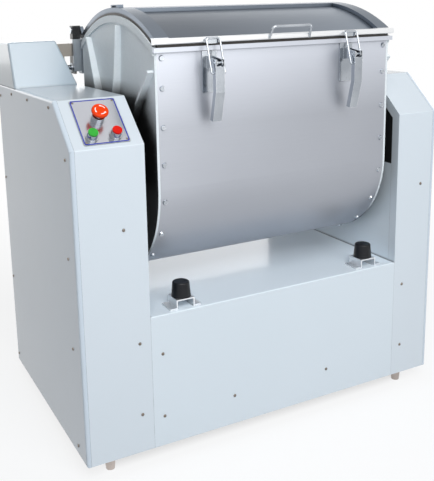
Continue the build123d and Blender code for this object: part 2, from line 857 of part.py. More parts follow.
# Gasket: a closed ring under the lid, along both arches and both long edges
gasket_width = 6.0
gasket_run_outside = 5.0
gasket_run_inside = 10.0
gasket_low = arch_radius + moving_clearance
gasket_ring_low = rim_z + moving_clearance
left_gasket = arched_strip(
    trough_left, trough_left + gasket_width, gasket_low, gasket_low + gasket_height - seam, sheet_reach
)
right_gasket = arched_strip(
    trough_right - gasket_width, trough_right, gasket_low, gasket_low + gasket_height - seam, sheet_reach
)
with BuildPart() as lid_gasket:
    add(left_gasket.part)
    add(right_gasket.part)
    for low_y, high_y in (
        (trough_front - gasket_run_outside, trough_front + gasket_run_inside),
        (trough_back - gasket_run_inside, trough_back + gasket_run_outside),
    ):
        block(
            (trough_left + gasket_width, trough_right - gasket_width),
            (low_y, high_y),
            (gasket_ring_low, lid_bar_z - seam),
        )
finish(lid_gasket, "lid_gasket")

# Lid handle: a bent round bar on the front bar's face, leaning forward
handle_x = trough_middle + handle_offset
handle_z = lid_bar_z + handle_foot_height
handle_taper = 4.0
handle_bend = 9.0
handle_plane = Plane(
    origin=(handle_x, lid_front_edge, handle_z),
    x_dir=(1, 0, 0),
    z_dir=(0, -cos(radians(handle_lean)), -sin(radians(handle_lean))),
)
with BuildPart() as lid_handle:
    with BuildLine(handle_plane):
        grip = FilletPolyline(
            (-handle_length / 2, -handle_rod_radius),
            (-handle_length / 2 + handle_taper, handle_height),
            (handle_length / 2 - handle_taper, handle_height),
            (handle_length / 2, -handle_rod_radius),
            radius=handle_bend,
        )
    with BuildSketch(Plane(origin=grip @ 0, z_dir=grip % 0)):
        Circle(handle_rod_radius)
    sweep()
    split(bisect_by=Plane.XZ.offset(-lid_front_edge), keep=Keep.TOP)
finish(lid_handle, "lid_handle")

# Catch plates on the lid's front bar, which the bails lie against
with BuildPart() as lid_catches:
    for latch_x in latch_stations:
        block(
            (latch_x - catch_width / 2, latch_x + catch_width / 2),
            (lid_front_edge - catch_plate, lid_front_edge),
            (lid_bar_z - catch_drop, lid_bar_z - catch_drop + catch_height),
        )
    fillet(lid_catches.edges().filter_by(Axis.Y), catch_corner)
finish(lid_catches, "lid_catches")

# Latches
lever_pivot_y = trough_front - lever_pivot_out
lever_pivot_z = bottom + lever_pivot_height
lever_pin_radius = 3.0
lever_pin_overhang = 1.5
bail_pivot_z = lever_pivot_z - bail_pivot_drop
bail_top_y = lid_front_edge - catch_plate - bail_gap - bail_wire_radius
bail_top_z = bottom + bail_top_height
latch_base_gap = 2.0
ear_half_gap = 5.5
ear_thickness = 3.0
ear_tip_radius = 7.5
ear_root_half = 15.0
lever_back_out = 6.0
lever_kink_drop = 69.0
lever_end_drop = 139.0
lever_end_back = 17.0
lever_end_slope = 3.0
web_top_drop = 9.0
latch_base_low = rim_low - latch_base_gap - latch_base_height
with BuildPart() as latch_bases:
    for latch_x in latch_stations:
        block(
            (latch_x - latch_base_width / 2, latch_x + latch_base_width / 2),
            (trough_front - latch_base_thickness, trough_front),
            (latch_base_low, latch_base_low + latch_base_height),
        )
        for ear_x in (latch_x - ear_half_gap - ear_thickness, latch_x + ear_half_gap):
            with BuildSketch(Plane.YZ.offset(ear_x)):
                with BuildLine():
                    CenterArc((lever_pivot_y, lever_pivot_z), ear_tip_radius, 0, 360)
                    Line(
                        (trough_front - latch_base_thickness, lever_pivot_z - ear_root_half),
                        (trough_front - latch_base_thickness, lever_pivot_z + ear_root_half),
                    )
                make_hull()
            extrude(amount=ear_thickness)
        pin_half = lever_width / 2 + lever_pin_overhang
        rod(latch_x - pin_half, latch_x + pin_half, lever_pin_radius, lever_pivot_y, lever_pivot_z)
finish(latch_bases, "latch_bases")


def latch_lever(latch_x):
    """Pressed channel lever with an open top end, bent back towards the wall at its lower half."""
    front_y = lever_pivot_y - lever_front_out
    back_y = lever_pivot_y + lever_back_out
    kink_z = lever_pivot_z - lever_kink_drop
    end_z = lever_pivot_z - lever_end_drop
    with BuildPart() as lever:
        with BuildSketch(Plane.YZ.offset(latch_x - lever_width / 2)):
            Polygon(
                (front_y, lever_pivot_z + lever_front_out),
                (front_y, kink_z),
                (front_y + lever_end_back, end_z),
                (back_y + lever_end_back, end_z + lever_end_slope),
                (back_y, kink_z),
                (back_y, lever_pivot_z + lever_front_out),
                align=None,
            )
        extrude(amount=lever_width)
        with BuildSketch(Plane.YZ.offset(latch_x - lever_width / 2 + lever_wall)):
            Polygon(
                (front_y + lever_wall, lever_pivot_z - web_top_drop),
                (front_y + lever_wall, kink_z),
                (front_y + lever_wall + lever_end_back, end_z - cut),
                (back_y + lever_end_back + cut, end_z - cut),
                (back_y + cut, kink_z),
                (back_y + cut, lever_pivot_z + lever_front_out + cut),
                (front_y - cut, lever_pivot_z + lever_front_out + cut),
                (front_y - cut, lever_pivot_z - web_top_drop),
                align=None,
            )
        extrude(amount=lever_width - 2 * lever_wall, mode=Mode.SUBTRACT)
        half = lever_width / 2 + cut
        pin_hole = lever_pin_radius + running_clearance
        bail_hole = bail_wire_radius + running_clearance
        rod(latch_x - half, latch_x + half, pin_hole, lever_pivot_y, lever_pivot_z, Mode.SUBTRACT)
        rod(latch_x - half, latch_x + half, bail_hole, lever_pivot_y, bail_pivot_z, Mode.SUBTRACT)
    return lever


def latch_bail(latch_x):
    """Wire loop whose ends turn inwards through the lever's walls."""
    reach = Vector(0, bail_top_y - lever_pivot_y, bail_top_z - bail_pivot_z)
    bail_plane = Plane(
        origin=(latch_x, lever_pivot_y, bail_pivot_z), x_dir=(1, 0, 0), z_dir=Vector(1, 0, 0).cross(reach)
    )
    inner_end = lever_width / 2 - lever_wall - bail_end_overhang
    with BuildPart() as bail:
        with BuildLine(bail_plane):
            wire = FilletPolyline(
                (-inner_end, 0),
                (-bail_width / 2, 0),
                (-bail_width / 2, reach.length),
                (bail_width / 2, reach.length),
                (bail_width / 2, 0),
                (inner_end, 0),
                radius=[bail_foot_bend, bail_bend, bail_bend, bail_foot_bend],
            )
        with BuildSketch(Plane(origin=wire @ 0, z_dir=wire % 0)):
            Circle(bail_wire_radius)
        sweep()
    return bail


for latch_side, latch_x in zip(("left", "right"), latch_stations):
    finish(latch_lever(latch_x), f"{latch_side}_latch_lever")
    finish(latch_bail(latch_x), f"{latch_side}_latch_bail")

# Brackets behind the trough: plates on the rear rim bar that carry the lid's hinge blocks and the lock lug
bracket_top = hinge_z - hinge_pin_above_bracket
bracket_y = trough_back + rim_bar_depth
block_gap = 1.0
block_stations = (trough_left - block_gap - hinge_block_width, trough_right + block_gap)
lug_x = trough_left + lock_lug_inset
stop_arm_top = bracket_top - stop_arm_drop
lock_z = stop_arm_top - stop_arm_height - lock_drop
lock_y = bracket_y + bracket_plate_thickness + stop_arm_depth / 2
with BuildPart() as hinge_brackets:
    for low_x in (block_stations[0], block_stations[1] + hinge_block_width - bracket_plate_width):
        block(
            (low_x, low_x + bracket_plate_width),
            (bracket_y, bracket_y + bracket_plate_thickness),
            (bracket_top - bracket_plate_drop, bracket_top),
        )
    with BuildSketch(Plane.YZ.offset(lug_x)):
        with BuildLine():
            CenterArc((lock_y, lock_z), lock_lug_radius, 0, 360)
            Line(
                (bracket_y + bracket_plate_thickness, lock_z - lock_lug_radius),
                (bracket_y + bracket_plate_thickness, lock_z + lock_lug_radius),
            )
        make_hull()
        with Locations((lock_y, lock_z)):
            Circle(lock_pin_radius + moving_clearance, mode=Mode.SUBTRACT)
    extrude(amount=lock_lug_thickness)
finish(hinge_brackets, "hinge_brackets")

with BuildPart() as hinge_blocks:
    for block_x in block_stations:
        block(
            (block_x, block_x + hinge_block_width),
            (bracket_y, hinge_y + hinge_block_depth - hinge_behind_bar),
            (bracket_top, bracket_top + hinge_block_height),
        )
        block_end = block_x + hinge_block_width + cut
        rod(block_x - cut, block_end, hinge_pin_radius, hinge_y, hinge_z, Mode.SUBTRACT)
    fillet(hinge_blocks.edges().filter_by(Axis.X), hinge_block_bend)
finish(hinge_blocks, "hinge_blocks")

with BuildPart() as hinge_pins:
    for block_x, side in zip(block_stations, (-1, 1)):
        outer_end = block_x if side < 0 else block_x + hinge_block_width
        inner_end = trough_left + hinge_arm_width if side < 0 else trough_right - hinge_arm_width
        rod(outer_end + side * hinge_pin_head, inner_end, hinge_pin_radius, hinge_y, hinge_z)
        rod(outer_end, outer_end + side * hinge_pin_head, hinge_pin_head_radius, hinge_y, hinge_z)
finish(hinge_pins, "hinge_pins")

# Lock plunger's stations: the pin rests drawn out, just short of the trough's lug
lock_tip = lug_x - lock_tip_gap
post_right = left_wall_bay - wall_thickness
knob_left = post_right + 3 * seam
knob_right = knob_left + lock_knob_length
lock_housing_left = knob_right + lock_travel + moving_clearance
lock_housing_right = lock_housing_left + lock_housing_length
hanger_left = lock_housing_left + (lock_housing_length - lock_hanger_thickness) / 2
hanger_right = hanger_left + lock_hanger_thickness

# Tilt stop arm: a box section on a post of the left wall plate, with a hanger for the lock plunger
arm_y = bracket_y + bracket_plate_thickness + seam
post_left = post_right - stop_arm_depth
post_low = counter_z + cartridge_flange_radius + 2 * sheet
arm_right = block_stations[0] + stop_arm_overlap
arm_low = stop_arm_top - stop_arm_height
with BuildPart() as tilt_stop_arm:
    block((post_left, arm_right), (arm_y, arm_y + stop_arm_depth), (arm_low, stop_arm_top))
    block(
        (post_left - stop_arm_wall, arm_right - stop_arm_wall),
        (arm_y + stop_arm_wall, arm_y + stop_arm_depth - stop_arm_wall),
        (arm_low + stop_arm_wall, stop_arm_top - stop_arm_wall),
        mode=Mode.SUBTRACT,
    )
    block((post_left, post_right), (arm_y, arm_y + stop_arm_depth), (post_low, arm_low))
    block((hanger_left, hanger_right), (arm_y, arm_y + stop_arm_depth), (lock_z - lock_lug_radius, arm_low))
    rod(hanger_left - seam, hanger_right + seam, lock_spigot_radius, lock_y, lock_z, Mode.SUBTRACT)
finish(tilt_stop_arm, "tilt_stop_arm")

# Lock plunger: hexagon housing in the hanger and a sliding pin with a knob
with BuildPart() as lock_housing:
    rod(lock_housing_left, lock_housing_right, lock_spigot_radius, lock_y, lock_z)
    for nut_left, nut_right in ((lock_housing_left, hanger_left), (hanger_right, lock_housing_right)):
        with BuildSketch(Plane.YZ.offset(nut_left)):
            with Locations((lock_y, lock_z)):
                RegularPolygon(lock_nut_radius, 6)
        extrude(amount=nut_right - nut_left)
    bore = lock_pin_radius + running_clearance
    rod(lock_housing_left - seam, lock_housing_right + seam, bore, lock_y, lock_z, Mode.SUBTRACT)
finish(lock_housing, "lock_housing")

with BuildPart() as lock_pin:
    rod(knob_left, lock_tip, lock_pin_radius, lock_y, lock_z)
    rod(knob_left, knob_right, lock_knob_radius, lock_y, lock_z)
    chamfer(lock_pin.faces().sort_by(Axis.X)[-1].edges(), lock_pin_chamfer)
    fillet(lock_pin.faces().sort_by(Axis.X)[0].edges(), 2 * lock_pin_chamfer)
finish(lock_pin, "lock_pin")

# Agitator: two shaft stubs with crossed arms, joined by two mixing bars that twist half a turn
arm_thickness = 2 * (mixing_bar_radius + arm_cover)
mixing_left = shell_left + agitator_end_gap
mixing_right = shell_right - agitator_end_gap
shaft_left = gear_left - drive_gap / 2
shaft_right = right_wall_bay + wall_thickness + housing_length + shaft_overhang
bar_left = mixing_left + arm_thickness / 2
bar_right = mixing_right - arm_thickness / 2
with BuildPart() as mixing_bar:
    with BuildLine():
        spiral = Helix(
            pitch=2 * (bar_right - bar_left),
            height=bar_right - bar_left,
            radius=mixing_radius,
            center=(bar_left, 0, 0),
            direction=(1, 0, 0),
        )
    with BuildSketch(Plane(origin=spiral @ 0, z_dir=spiral % 0)):
        Circle(mixing_bar_radius)
    sweep(is_frenet=True)
with BuildPart() as agitator:
    rod(shaft_left, mixing_left + arm_thickness, shaft_radius, axis_y, axis_z)
    rod(mixing_right - arm_thickness, shaft_right, shaft_radius, axis_y, axis_z)
    for arm_x in (mixing_left, mixing_right - arm_thickness):
        rod(arm_x, arm_x + arm_thickness, agitator_hub_radius, axis_y, axis_z)
        with BuildSketch(Plane.YZ.offset(arm_x)):
            with Locations((axis_y, axis_z)):
                arm_length = 2 * (mixing_radius + mixing_bar_radius)
                SlotOverall(arm_length, arm_width, rotation=90)
        extrude(amount=arm_thickness)
    with Locations(Location((0, axis_y, axis_z)), Location((0, axis_y, axis_z), (180, 0, 0))):
        add(mixing_bar.part)
finish(agitator, "agitator")


def involute_flank(teeth, base_shift):
    """Points of one tooth flank from root to tip, as radius and angle from the tooth's middle."""
    pitch_radius = gear_module * teeth / 2
    base_radius = pitch_radius * cos(radians(pressure_angle))
    root_radius = pitch_radius - dedendum * gear_module
    tip_radius = pitch_radius + gear_module
    half_thickness = pi / (2 * teeth) - base_shift / pitch_radius
    involute_at_pitch = tan(radians(pressure_angle)) - radians(pressure_angle)
    start = max(base_radius, root_radius)
    points = []
    if root_radius < base_radius:
        points.append((root_radius, half_thickness + involute_at_pitch))
    for step in range(flank_points):
        radius = start + (tip_radius - start) * step / (flank_points - 1)
        roll = acos(min(1, base_radius / radius))
        points.append((radius, half_thickness + involute_at_pitch - (tan(roll) - roll)))
    return points


def gear_outline(teeth, phase):
    """All the corners of a spur gear, one tooth after another, turned by the phase in degrees."""
    flank = involute_flank(teeth, tooth_backlash / 4)
    corners = []
    for tooth in range(teeth):
        middle = 2 * pi * tooth / teeth + radians(phase)
        rising = [(radius, middle - angle) for radius, angle in flank]
        falling = [(radius, middle + angle) for radius, angle in reversed(flank)]
        corners += [(radius * cos(angle), radius * sin(angle)) for radius, angle in rising + falling]
    return corners


# Main gear on the agitator's shaft: a tooth points along the line of centres
web_thickness = 14.0
web_hole_radius = 38.0
web_hole_count = 6
rim_depth = 26.0
rim_inside = gear_module * gear_teeth / 2 - rim_depth
with BuildPart() as main_gear:
    with BuildSketch(Plane.YZ.offset(gear_left)):
        with Locations((axis_y, axis_z)):
            Polygon(*gear_outline(gear_teeth, countershaft_angle), align=None)
            Circle(rim_inside, mode=Mode.SUBTRACT)
    extrude(amount=gear_face)
    with BuildSketch(Plane.YZ.offset(gear_left + (gear_face - web_thickness) / 2)):
        with Locations((axis_y, axis_z)):
            Circle(rim_inside)
            with PolarLocations((rim_inside + agitator_hub_radius) / 2, web_hole_count):
                Circle(web_hole_radius, mode=Mode.SUBTRACT)
    extrude(amount=web_thickness)
    rod(gear_left, gear_right, agitator_hub_radius, axis_y, axis_z)
    rod(gear_left - cut, gear_right + cut, shaft_radius, axis_y, axis_z, Mode.SUBTRACT)
finish(main_gear, "main_gear")

# Countershaft in one piece with its pinion: a tooth gap faces the main gear's tooth
cartridge_right = left_wall_bay - wall_thickness
cartridge_left = cartridge_right - cartridge_length
countershaft_left = pulley_left - drive_gap / 2
pinion_phase = countershaft_angle + 180 + 180 / pinion_teeth
with BuildPart() as countershaft:
    rod(countershaft_left, cartridge_right + drive_gap / 2, countershaft_radius, counter_y, counter_z)
    with BuildSketch(Plane.YZ.offset(gear_left)):
        with Locations((counter_y, counter_z)):
            Polygon(*gear_outline(pinion_teeth, pinion_phase), align=None)
    extrude(amount=gear_face)
finish(countershaft, "countershaft")

with BuildPart() as countershaft_bearing:
    rod(cartridge_left, cartridge_right, cartridge_radius, counter_y, counter_z)
    flange_left = cartridge_right - cartridge_flange_thickness
    rod(flange_left, cartridge_right, cartridge_flange_radius, counter_y, counter_z)
    bore = countershaft_radius + running_clearance
    rod(cartridge_left - cut, cartridge_right + cut, bore, counter_y, counter_z, Mode.SUBTRACT)
finish(countershaft_bearing, "countershaft_bearing")


# Belt drive: two belts in grooved pulleys
groove_stations = [pulley_left + pulley_width / 2 + step * belt_pitch for step in (-1 / 2, 1 / 2)]
groove_flare = 0.9


def pulley(radius, bore_radius, y, z):
    """Two-groove pulley turned about X, with a bore for its shaft."""
    groove_floor = radius - belt_height
    with BuildPart() as wheel:
        with BuildSketch(Plane.XY):
            with BuildLine():
                corners = [(pulley_left, bore_radius), (pulley_left, radius)]
                for groove_x in groove_stations:
                    half_floor = belt_width / 2 + moving_clearance
                    corners += [
                        (groove_x - half_floor - groove_flare, radius),
                        (groove_x - half_floor, groove_floor),
                        (groove_x + half_floor, groove_floor),
                        (groove_x + half_floor + groove_flare, radius),
                    ]
                corners += [(pulley_right, radius), (pulley_right, bore_radius)]
                Polyline(*corners, close=True)
            make_face()
        revolve(axis=Axis.X)
    with BuildPart() as placed:
        with Locations((0, y, z)):
            add(wheel.part)
    return placed


driven_pulley = pulley(driven_pulley_radius, countershaft_radius, counter_y, counter_z)
finish(driven_pulley, "driven_pulley")
motor_pulley_wheel = pulley(motor_pulley_radius, motor_shaft_radius, counter_y, motor_z)
finish(motor_pulley_wheel, "motor_pulley")

with BuildPart() as drive_belts:
    for groove_x in groove_stations:
        for extra, mode in ((moving_clearance + belt_height, Mode.ADD), (moving_clearance, Mode.SUBTRACT)):
            with BuildSketch(Plane.YZ.offset(groove_x - belt_width / 2)):
                with BuildLine():
                    CenterArc((counter_y, counter_z), driven_pulley_radius - belt_height + extra, 0, 360)
                    CenterArc((counter_y, motor_z), motor_pulley_radius - belt_height + extra, 0, 360)
                make_hull()
            extrude(amount=belt_width, mode=mode)
finish(drive_belts, "drive_belts")

# Motor on its feet beside the left wall plate, reaching through the plate's window
fin_count = 28
fin_depth = 12.0
fin_width = 4.0
fin_root = 2.0
cowl_length = 90.0
motor_nose_length = 40.0
motor_nose_radius = 60.0
motor_bore_floor = 8.0
motor_body_left = motor_front_x + motor_nose_length
motor_body_right = motor_body_left + motor_length
motor_foot_half = 90.0
motor_foot_width = 40.0
motor_foot_height = 12.0
motor_web_half = 63.0
motor_web_width = 30.0
motor_web_top = motor_z - motor_nose_radius
foot_margin = (frame_tube_width - motor_foot_width) / 2
web_margin = (motor_foot_width - motor_web_width) / 2
terminal_box_inset = 115.0
terminal_box_length = 90.0
terminal_box_half = 45.0
terminal_box_rise = 12.0
with BuildPart() as main_motor:
    with BuildSketch(Plane.YZ.offset(motor_body_left)):
        with Locations((counter_y, motor_z)):
            Circle(motor_radius - fin_depth)
            with PolarLocations(motor_radius - (fin_depth + fin_root) / 2, fin_count):
                Rectangle(fin_depth + fin_root, fin_width)
    extrude(amount=motor_length - cowl_length)
    rod(motor_body_right - cowl_length, motor_body_right, motor_radius, counter_y, motor_z)
    rod(motor_front_x, motor_body_left, motor_nose_radius, counter_y, motor_z)
    box_left = motor_body_left + terminal_box_inset
    block(
        (box_left, box_left + terminal_box_length),
        (counter_y - terminal_box_half, counter_y + terminal_box_half),
        (motor_z + motor_radius - 2 * fin_depth, motor_z + motor_radius + terminal_box_rise),
    )
    for tube_x in (cross_stations[1], cross_stations[2]):
        foot_x = tube_x + foot_margin
        block(
            (foot_x, foot_x + motor_foot_width),
            (counter_y - motor_foot_half, counter_y + motor_foot_half),
            (frame_top, frame_top + motor_foot_height),
        )
        block(
            (foot_x + web_margin, foot_x + web_margin + motor_web_width),
            (counter_y - motor_web_half, counter_y + motor_web_half),
            (frame_top, motor_web_top),
        )
    bore = motor_shaft_radius + running_clearance
    rod(motor_front_x - cut, motor_body_left - motor_bore_floor, bore, counter_y, motor_z, Mode.SUBTRACT)
finish(main_motor, "main_motor")
with BuildPart() as motor_shaft:
    shaft_end = motor_body_left - motor_bore_floor - cut
    rod(pulley_left - drive_gap / 2, shaft_end, motor_shaft_radius, counter_y, motor_z)
    chamfer(motor_shaft.faces().sort_by(Axis.X)[0].edges(), motor_shaft_chamfer)
finish(motor_shaft, "motor_shaft")

# Electrical box on the tower side of the right wall plate
box_depth = 80.0
box_width = 180.0
box_height = 240.0
box_below_deck = 180.0
box_corner = 8.0
box_lid = 4.0
box_lid_lip = 3.0
box_low = deck_top - box_below_deck
with BuildPart() as electrical_box:
    box_face = right_wall_bay + wall_thickness
    block(
        (box_face, box_face + box_depth),
        (axis_y - box_width / 2, axis_y + box_width / 2),
        (box_low, box_low + box_height),
    )
    fillet(electrical_box.edges().filter_by(Axis.X), box_corner)
    block(
        (box_face + box_depth, box_face + box_depth + box_lid),
        (axis_y - box_width / 2 - box_lid_lip, axis_y + box_width / 2 + box_lid_lip),
        (box_low - box_lid_lip, box_low + box_height + box_lid_lip),
    )
finish(electrical_box, "electrical_box")

# Control plate and its buttons on the sloped console
screw_inset = 7.0
plate_screw_radius = 3.0
plate_screw_height = 1.6
with BuildPart() as control_plate:
    with BuildSketch(console):
        RectangleRounded(plate_width, plate_height, plate_corner)
        with Locations(*control_spots):
            Circle(button_body_radius + seam, mode=Mode.SUBTRACT)
    extrude(amount=plate_thickness)
finish(control_plate, "control_plate")
plate_top = console.offset(plate_thickness)

button_body_length = 26.0
bezel_rim = 4.0
bezel_wall = 1.5
cap_proud = 2.5


def button_bezel(spot):
    """Chrome bezel with a threaded body through the console and a bore for the cap."""
    with BuildPart() as bezel:
        with BuildSketch(plate_top):
            with Locations(spot):
                Circle(button_bezel_radius)
        extrude(amount=bezel_rim)
        with BuildSketch(plate_top):
            with Locations(spot):
                Circle(button_cap_radius + bezel_wall)
        extrude(amount=button_height)
        with BuildSketch(plate_top):
            with Locations(spot):
                Circle(button_body_radius)
        extrude(amount=-button_body_length)
        with BuildSketch(plate_top.offset(button_height)):
            with Locations(spot):
                Circle(button_cap_radius + moving_clearance)
        extrude(amount=-(button_height - bezel_rim), mode=Mode.SUBTRACT)
    return bezel


def button_cap(spot):
    """Coloured cap that slides in the bezel."""
    with BuildPart() as cap:
        with BuildSketch(plate_top.offset(bezel_rim + button_travel + moving_clearance)):
            with Locations(spot):
                Circle(button_cap_radius)
        extrude(amount=button_height + cap_proud - bezel_rim - button_travel - moving_clearance)
    return cap


for button, spot in (("start", start_spot), ("stop", stop_spot)):
    finish(button_bezel(spot), f"{button}_bezel")
    finish(button_cap(spot), f"{button}_button")

estop_collar_height = 16.0
estop_stem_length = 14.0
estop_stop_gap = 2.0
estop_floor_gap = 1.0
estop_head_gap = estop_travel + estop_stop_gap
estop_head_height = 12.0
estop_socket_radius = 5.0
estop_socket_depth = 6.0
estop_dome_bend = 4.0
estop_neck_radius = 11.0
estop_underside = 6.0
with BuildPart() as estop_collar:
    with BuildSketch(plate_top):
        with Locations(estop_spot):
            Circle(estop_collar_radius)
    extrude(amount=estop_collar_height)
    with BuildSketch(plate_top):
        with Locations(estop_spot):
            Circle(button_body_radius)
    extrude(amount=-button_body_length)
    with BuildSketch(plate_top.offset(estop_collar_height)):
        with Locations(estop_spot):
            Circle(estop_stem_radius + moving_clearance)
    extrude(amount=-(estop_stem_length + estop_travel + estop_floor_gap), mode=Mode.SUBTRACT)
finish(estop_collar, "estop_collar")
estop_head_base = plate_top.offset(estop_collar_height + estop_head_gap)
with BuildPart() as estop_stem:
    with BuildSketch(estop_head_base.offset(-moving_clearance)):
        with Locations(estop_spot):
            Circle(estop_stem_radius)
    extrude(amount=-(estop_stem_length + estop_head_gap - moving_clearance))
    with BuildSketch(estop_head_base.offset(-moving_clearance)):
        with Locations(estop_spot):
            Circle(estop_socket_radius)
    extrude(amount=estop_socket_depth)
finish(estop_stem, "estop_stem")
head_section = Plane(
    origin=estop_head_base.from_local_coords((*estop_spot, 0)),
    x_dir=(1, 0, 0),
    z_dir=(0, -console.z_dir.Z, console.z_dir.Y),
)
with BuildPart() as estop_head:
    with BuildSketch(head_section):
        with BuildLine():
            Polyline(
                (0, estop_socket_depth + moving_clearance),
                (estop_socket_radius + running_clearance, estop_socket_depth + moving_clearance),
                (estop_socket_radius + running_clearance, 0),
                (estop_neck_radius, 0),
                (estop_head_radius, estop_underside),
                (estop_head_radius, estop_head_height),
                (0, estop_head_height),
                close=True,
            )
        make_face()
    revolve(axis=Axis(head_section.origin, console.z_dir))
    fillet(estop_head.edges().sort_by(Axis(console.origin, console.z_dir))[-1], estop_dome_bend)
finish(estop_head, "estop_head")

# Rubber buffers on hat-shaped brackets, where the front wall comes to rest when the trough is tipped
buffer_y = front + buffer_from_front
buffer_stations = (left_inner + buffer_inset_left, right_inner - buffer_inset_right)
buffer_top_z = axis_z - trough_radius - buffer_gap
buffer_low_z = deck_top + buffer_bracket_height + buffer_plate
hat_foot = (buffer_flange_length - buffer_bracket_width) / 2
with BuildPart() as buffer_brackets:
    for buffer_x in buffer_stations:
        low = deck_top
        high = deck_top + buffer_bracket_height
        half = buffer_bracket_width / 2
        with BuildSketch(Plane.XZ.offset(-(buffer_y - half))):
            Polygon(
                (buffer_x - half - hat_foot, low),
                (buffer_x - half + buffer_plate, low),
                (buffer_x - half + buffer_plate, high),
                (buffer_x + half - buffer_plate, high),
                (buffer_x + half - buffer_plate, low),
                (buffer_x + half + hat_foot, low),
                (buffer_x + half + hat_foot, low + buffer_plate),
                (buffer_x + half, low + buffer_plate),
                (buffer_x + half, high + buffer_plate),
                (buffer_x - half, high + buffer_plate),
                (buffer_x - half, low + buffer_plate),
                (buffer_x - half - hat_foot, low + buffer_plate),
                align=None,
            )
        extrude(amount=-buffer_bracket_width)
finish(buffer_brackets, "buffer_brackets")
with BuildPart() as buffer_rubbers:
    for buffer_x in buffer_stations:
        with Locations((buffer_x, buffer_y, buffer_low_z)):
            Cone(
                buffer_foot_radius,
                buffer_top_radius,
                buffer_top_z - buffer_low_z,
                align=(Align.CENTER, Align.CENTER, Align.MIN),
            )
    fillet(buffer_rubbers.faces().group_by(Axis.Z)[-1].edges(), buffer_bend)
finish(buffer_rubbers, "buffer_rubbers")

# Cable inlet in the left rear cover: a flat flange outside and a nut inside
with BuildPart() as cable_gland:
    for reach_from, reach_to, radius in (
        (back, back + cover_screw_height, inlet_flange_radius),
        (back - inlet_length, back, inlet_body_radius),
    ):
        with BuildSketch(Plane.XZ.offset(-reach_from)):
            with Locations(inlet_spot):
                Circle(radius)
        extrude(amount=reach_from - reach_to)
    with BuildSketch(Plane.XZ.offset(-(back - sheet))):
        with Locations(inlet_spot):
            RegularPolygon(inlet_flange_radius, 6)
    extrude(amount=inlet_nut_height)
    with BuildSketch(Plane.XZ.offset(-(back + 2 * cover_screw_height))):
        with Locations(inlet_spot):
            Circle(inlet_bore_radius)
    extrude(amount=2 * inlet_length, mode=Mode.SUBTRACT)
finish(cable_gland, "cable_gland")

# Cover screws: low round heads on all four sides and at the control plate's corners
screw_taper = 20
side_screw_edge = 18.0
top_screw_edge = 33.0
middle_screw_offset = 3.0
low_screw_height = 28.0
upper_screw_drop = 280.0
side_middle = (front + back) / 2
top_row = tower_top - side_screw_edge
side_spots = [
    (front + 35.0, chamfer_bottom - 24.0),
    (front + 54.0, bottom + 515.0),
    (front + 58.0, bottom + 287.0),
    (front + 60.0, bottom + low_screw_height),
    (front + chamfer_depth + 31.0, top_row),
    (side_middle + middle_screw_offset, top_row),
    (back - 159.0, top_row),
    (back - low_screw_height, tower_top - top_screw_edge),
    (back - side_screw_edge, tower_top - upper_screw_drop),
    (back - side_screw_edge, bottom + 286.0),
    (back - side_screw_edge, bottom + low_screw_height),
]
panel_screw_edge = 30.0
panel_screw_drop = 102.0
front_low_height = 80.0
tower_screw_drop = 300.0
front_spots = [
    (left_inner - 2 * panel_screw_edge, tower_top - tower_screw_drop),
    (left_inner - panel_screw_edge, bottom + 289.0),
    (left_inner - panel_screw_edge, bottom + 101.0),
    (left_inner + panel_screw_edge, deck_top - panel_screw_drop),
    (left_inner + panel_screw_edge, bottom + front_low_height),
    (left_inner + 234.0, bottom + front_low_height),
    (right_inner - 239.0, bottom + front_low_height),
    (right_inner + panel_screw_edge, bottom + 279.0),
    (right_inner + panel_screw_edge, bottom + 90.0),
    (right_outer - 48.0, tower_top - tower_screw_drop - 8.0),
]
rear_screw_inset = 14.0
tower_screw_levels = (
    bottom + low_screw_height,
    bottom + 320.0,
    tower_top - upper_screw_drop,
    tower_top - low_screw_height,
)
panel_screw_levels = (bottom + low_screw_height, deck_top - panel_screw_edge)
rear_spots = [
    (spot_x, level)
    for spot_x in (
        left_cover_edge + rear_screw_inset,
        left_inner - rear_screw_inset,
        right_inner + rear_screw_inset,
        right_cover_edge - rear_screw_inset,
    )
    for level in tower_screw_levels
]
rear_spots += [
    (spot_x, level)
    for spot_x in (left_inner + rear_screw_inset, trough_middle, right_inner - rear_screw_inset)
    for level in panel_screw_levels
]
with BuildPart() as cover_screws:
    for face_x, side in ((left_outer, -1), (right_outer, 1)):
        with BuildSketch(Plane.YZ.offset(face_x)):
            with Locations(*side_spots):
                Circle(cover_screw_radius)
        extrude(amount=side * cover_screw_height, taper=screw_taper)
    for face_y, side, spots in ((front, -1, front_spots), (back, 1, rear_spots)):
        with BuildSketch(Plane.XZ.offset(-face_y)):
            with Locations(*spots):
                Circle(cover_screw_radius)
        extrude(amount=-side * cover_screw_height, taper=screw_taper)
    with BuildSketch(plate_top):
        with GridLocations(plate_width - 2 * screw_inset, plate_height - 2 * screw_inset, 2, 2):
            Circle(plate_screw_radius)
    extrude(amount=plate_screw_height, taper=screw_taper)
finish(cover_screws, "cover_screws")
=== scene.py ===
from math import cos, hypot, pi, radians, sin

import bmesh
import bpy
from mathutils import Matrix, Vector


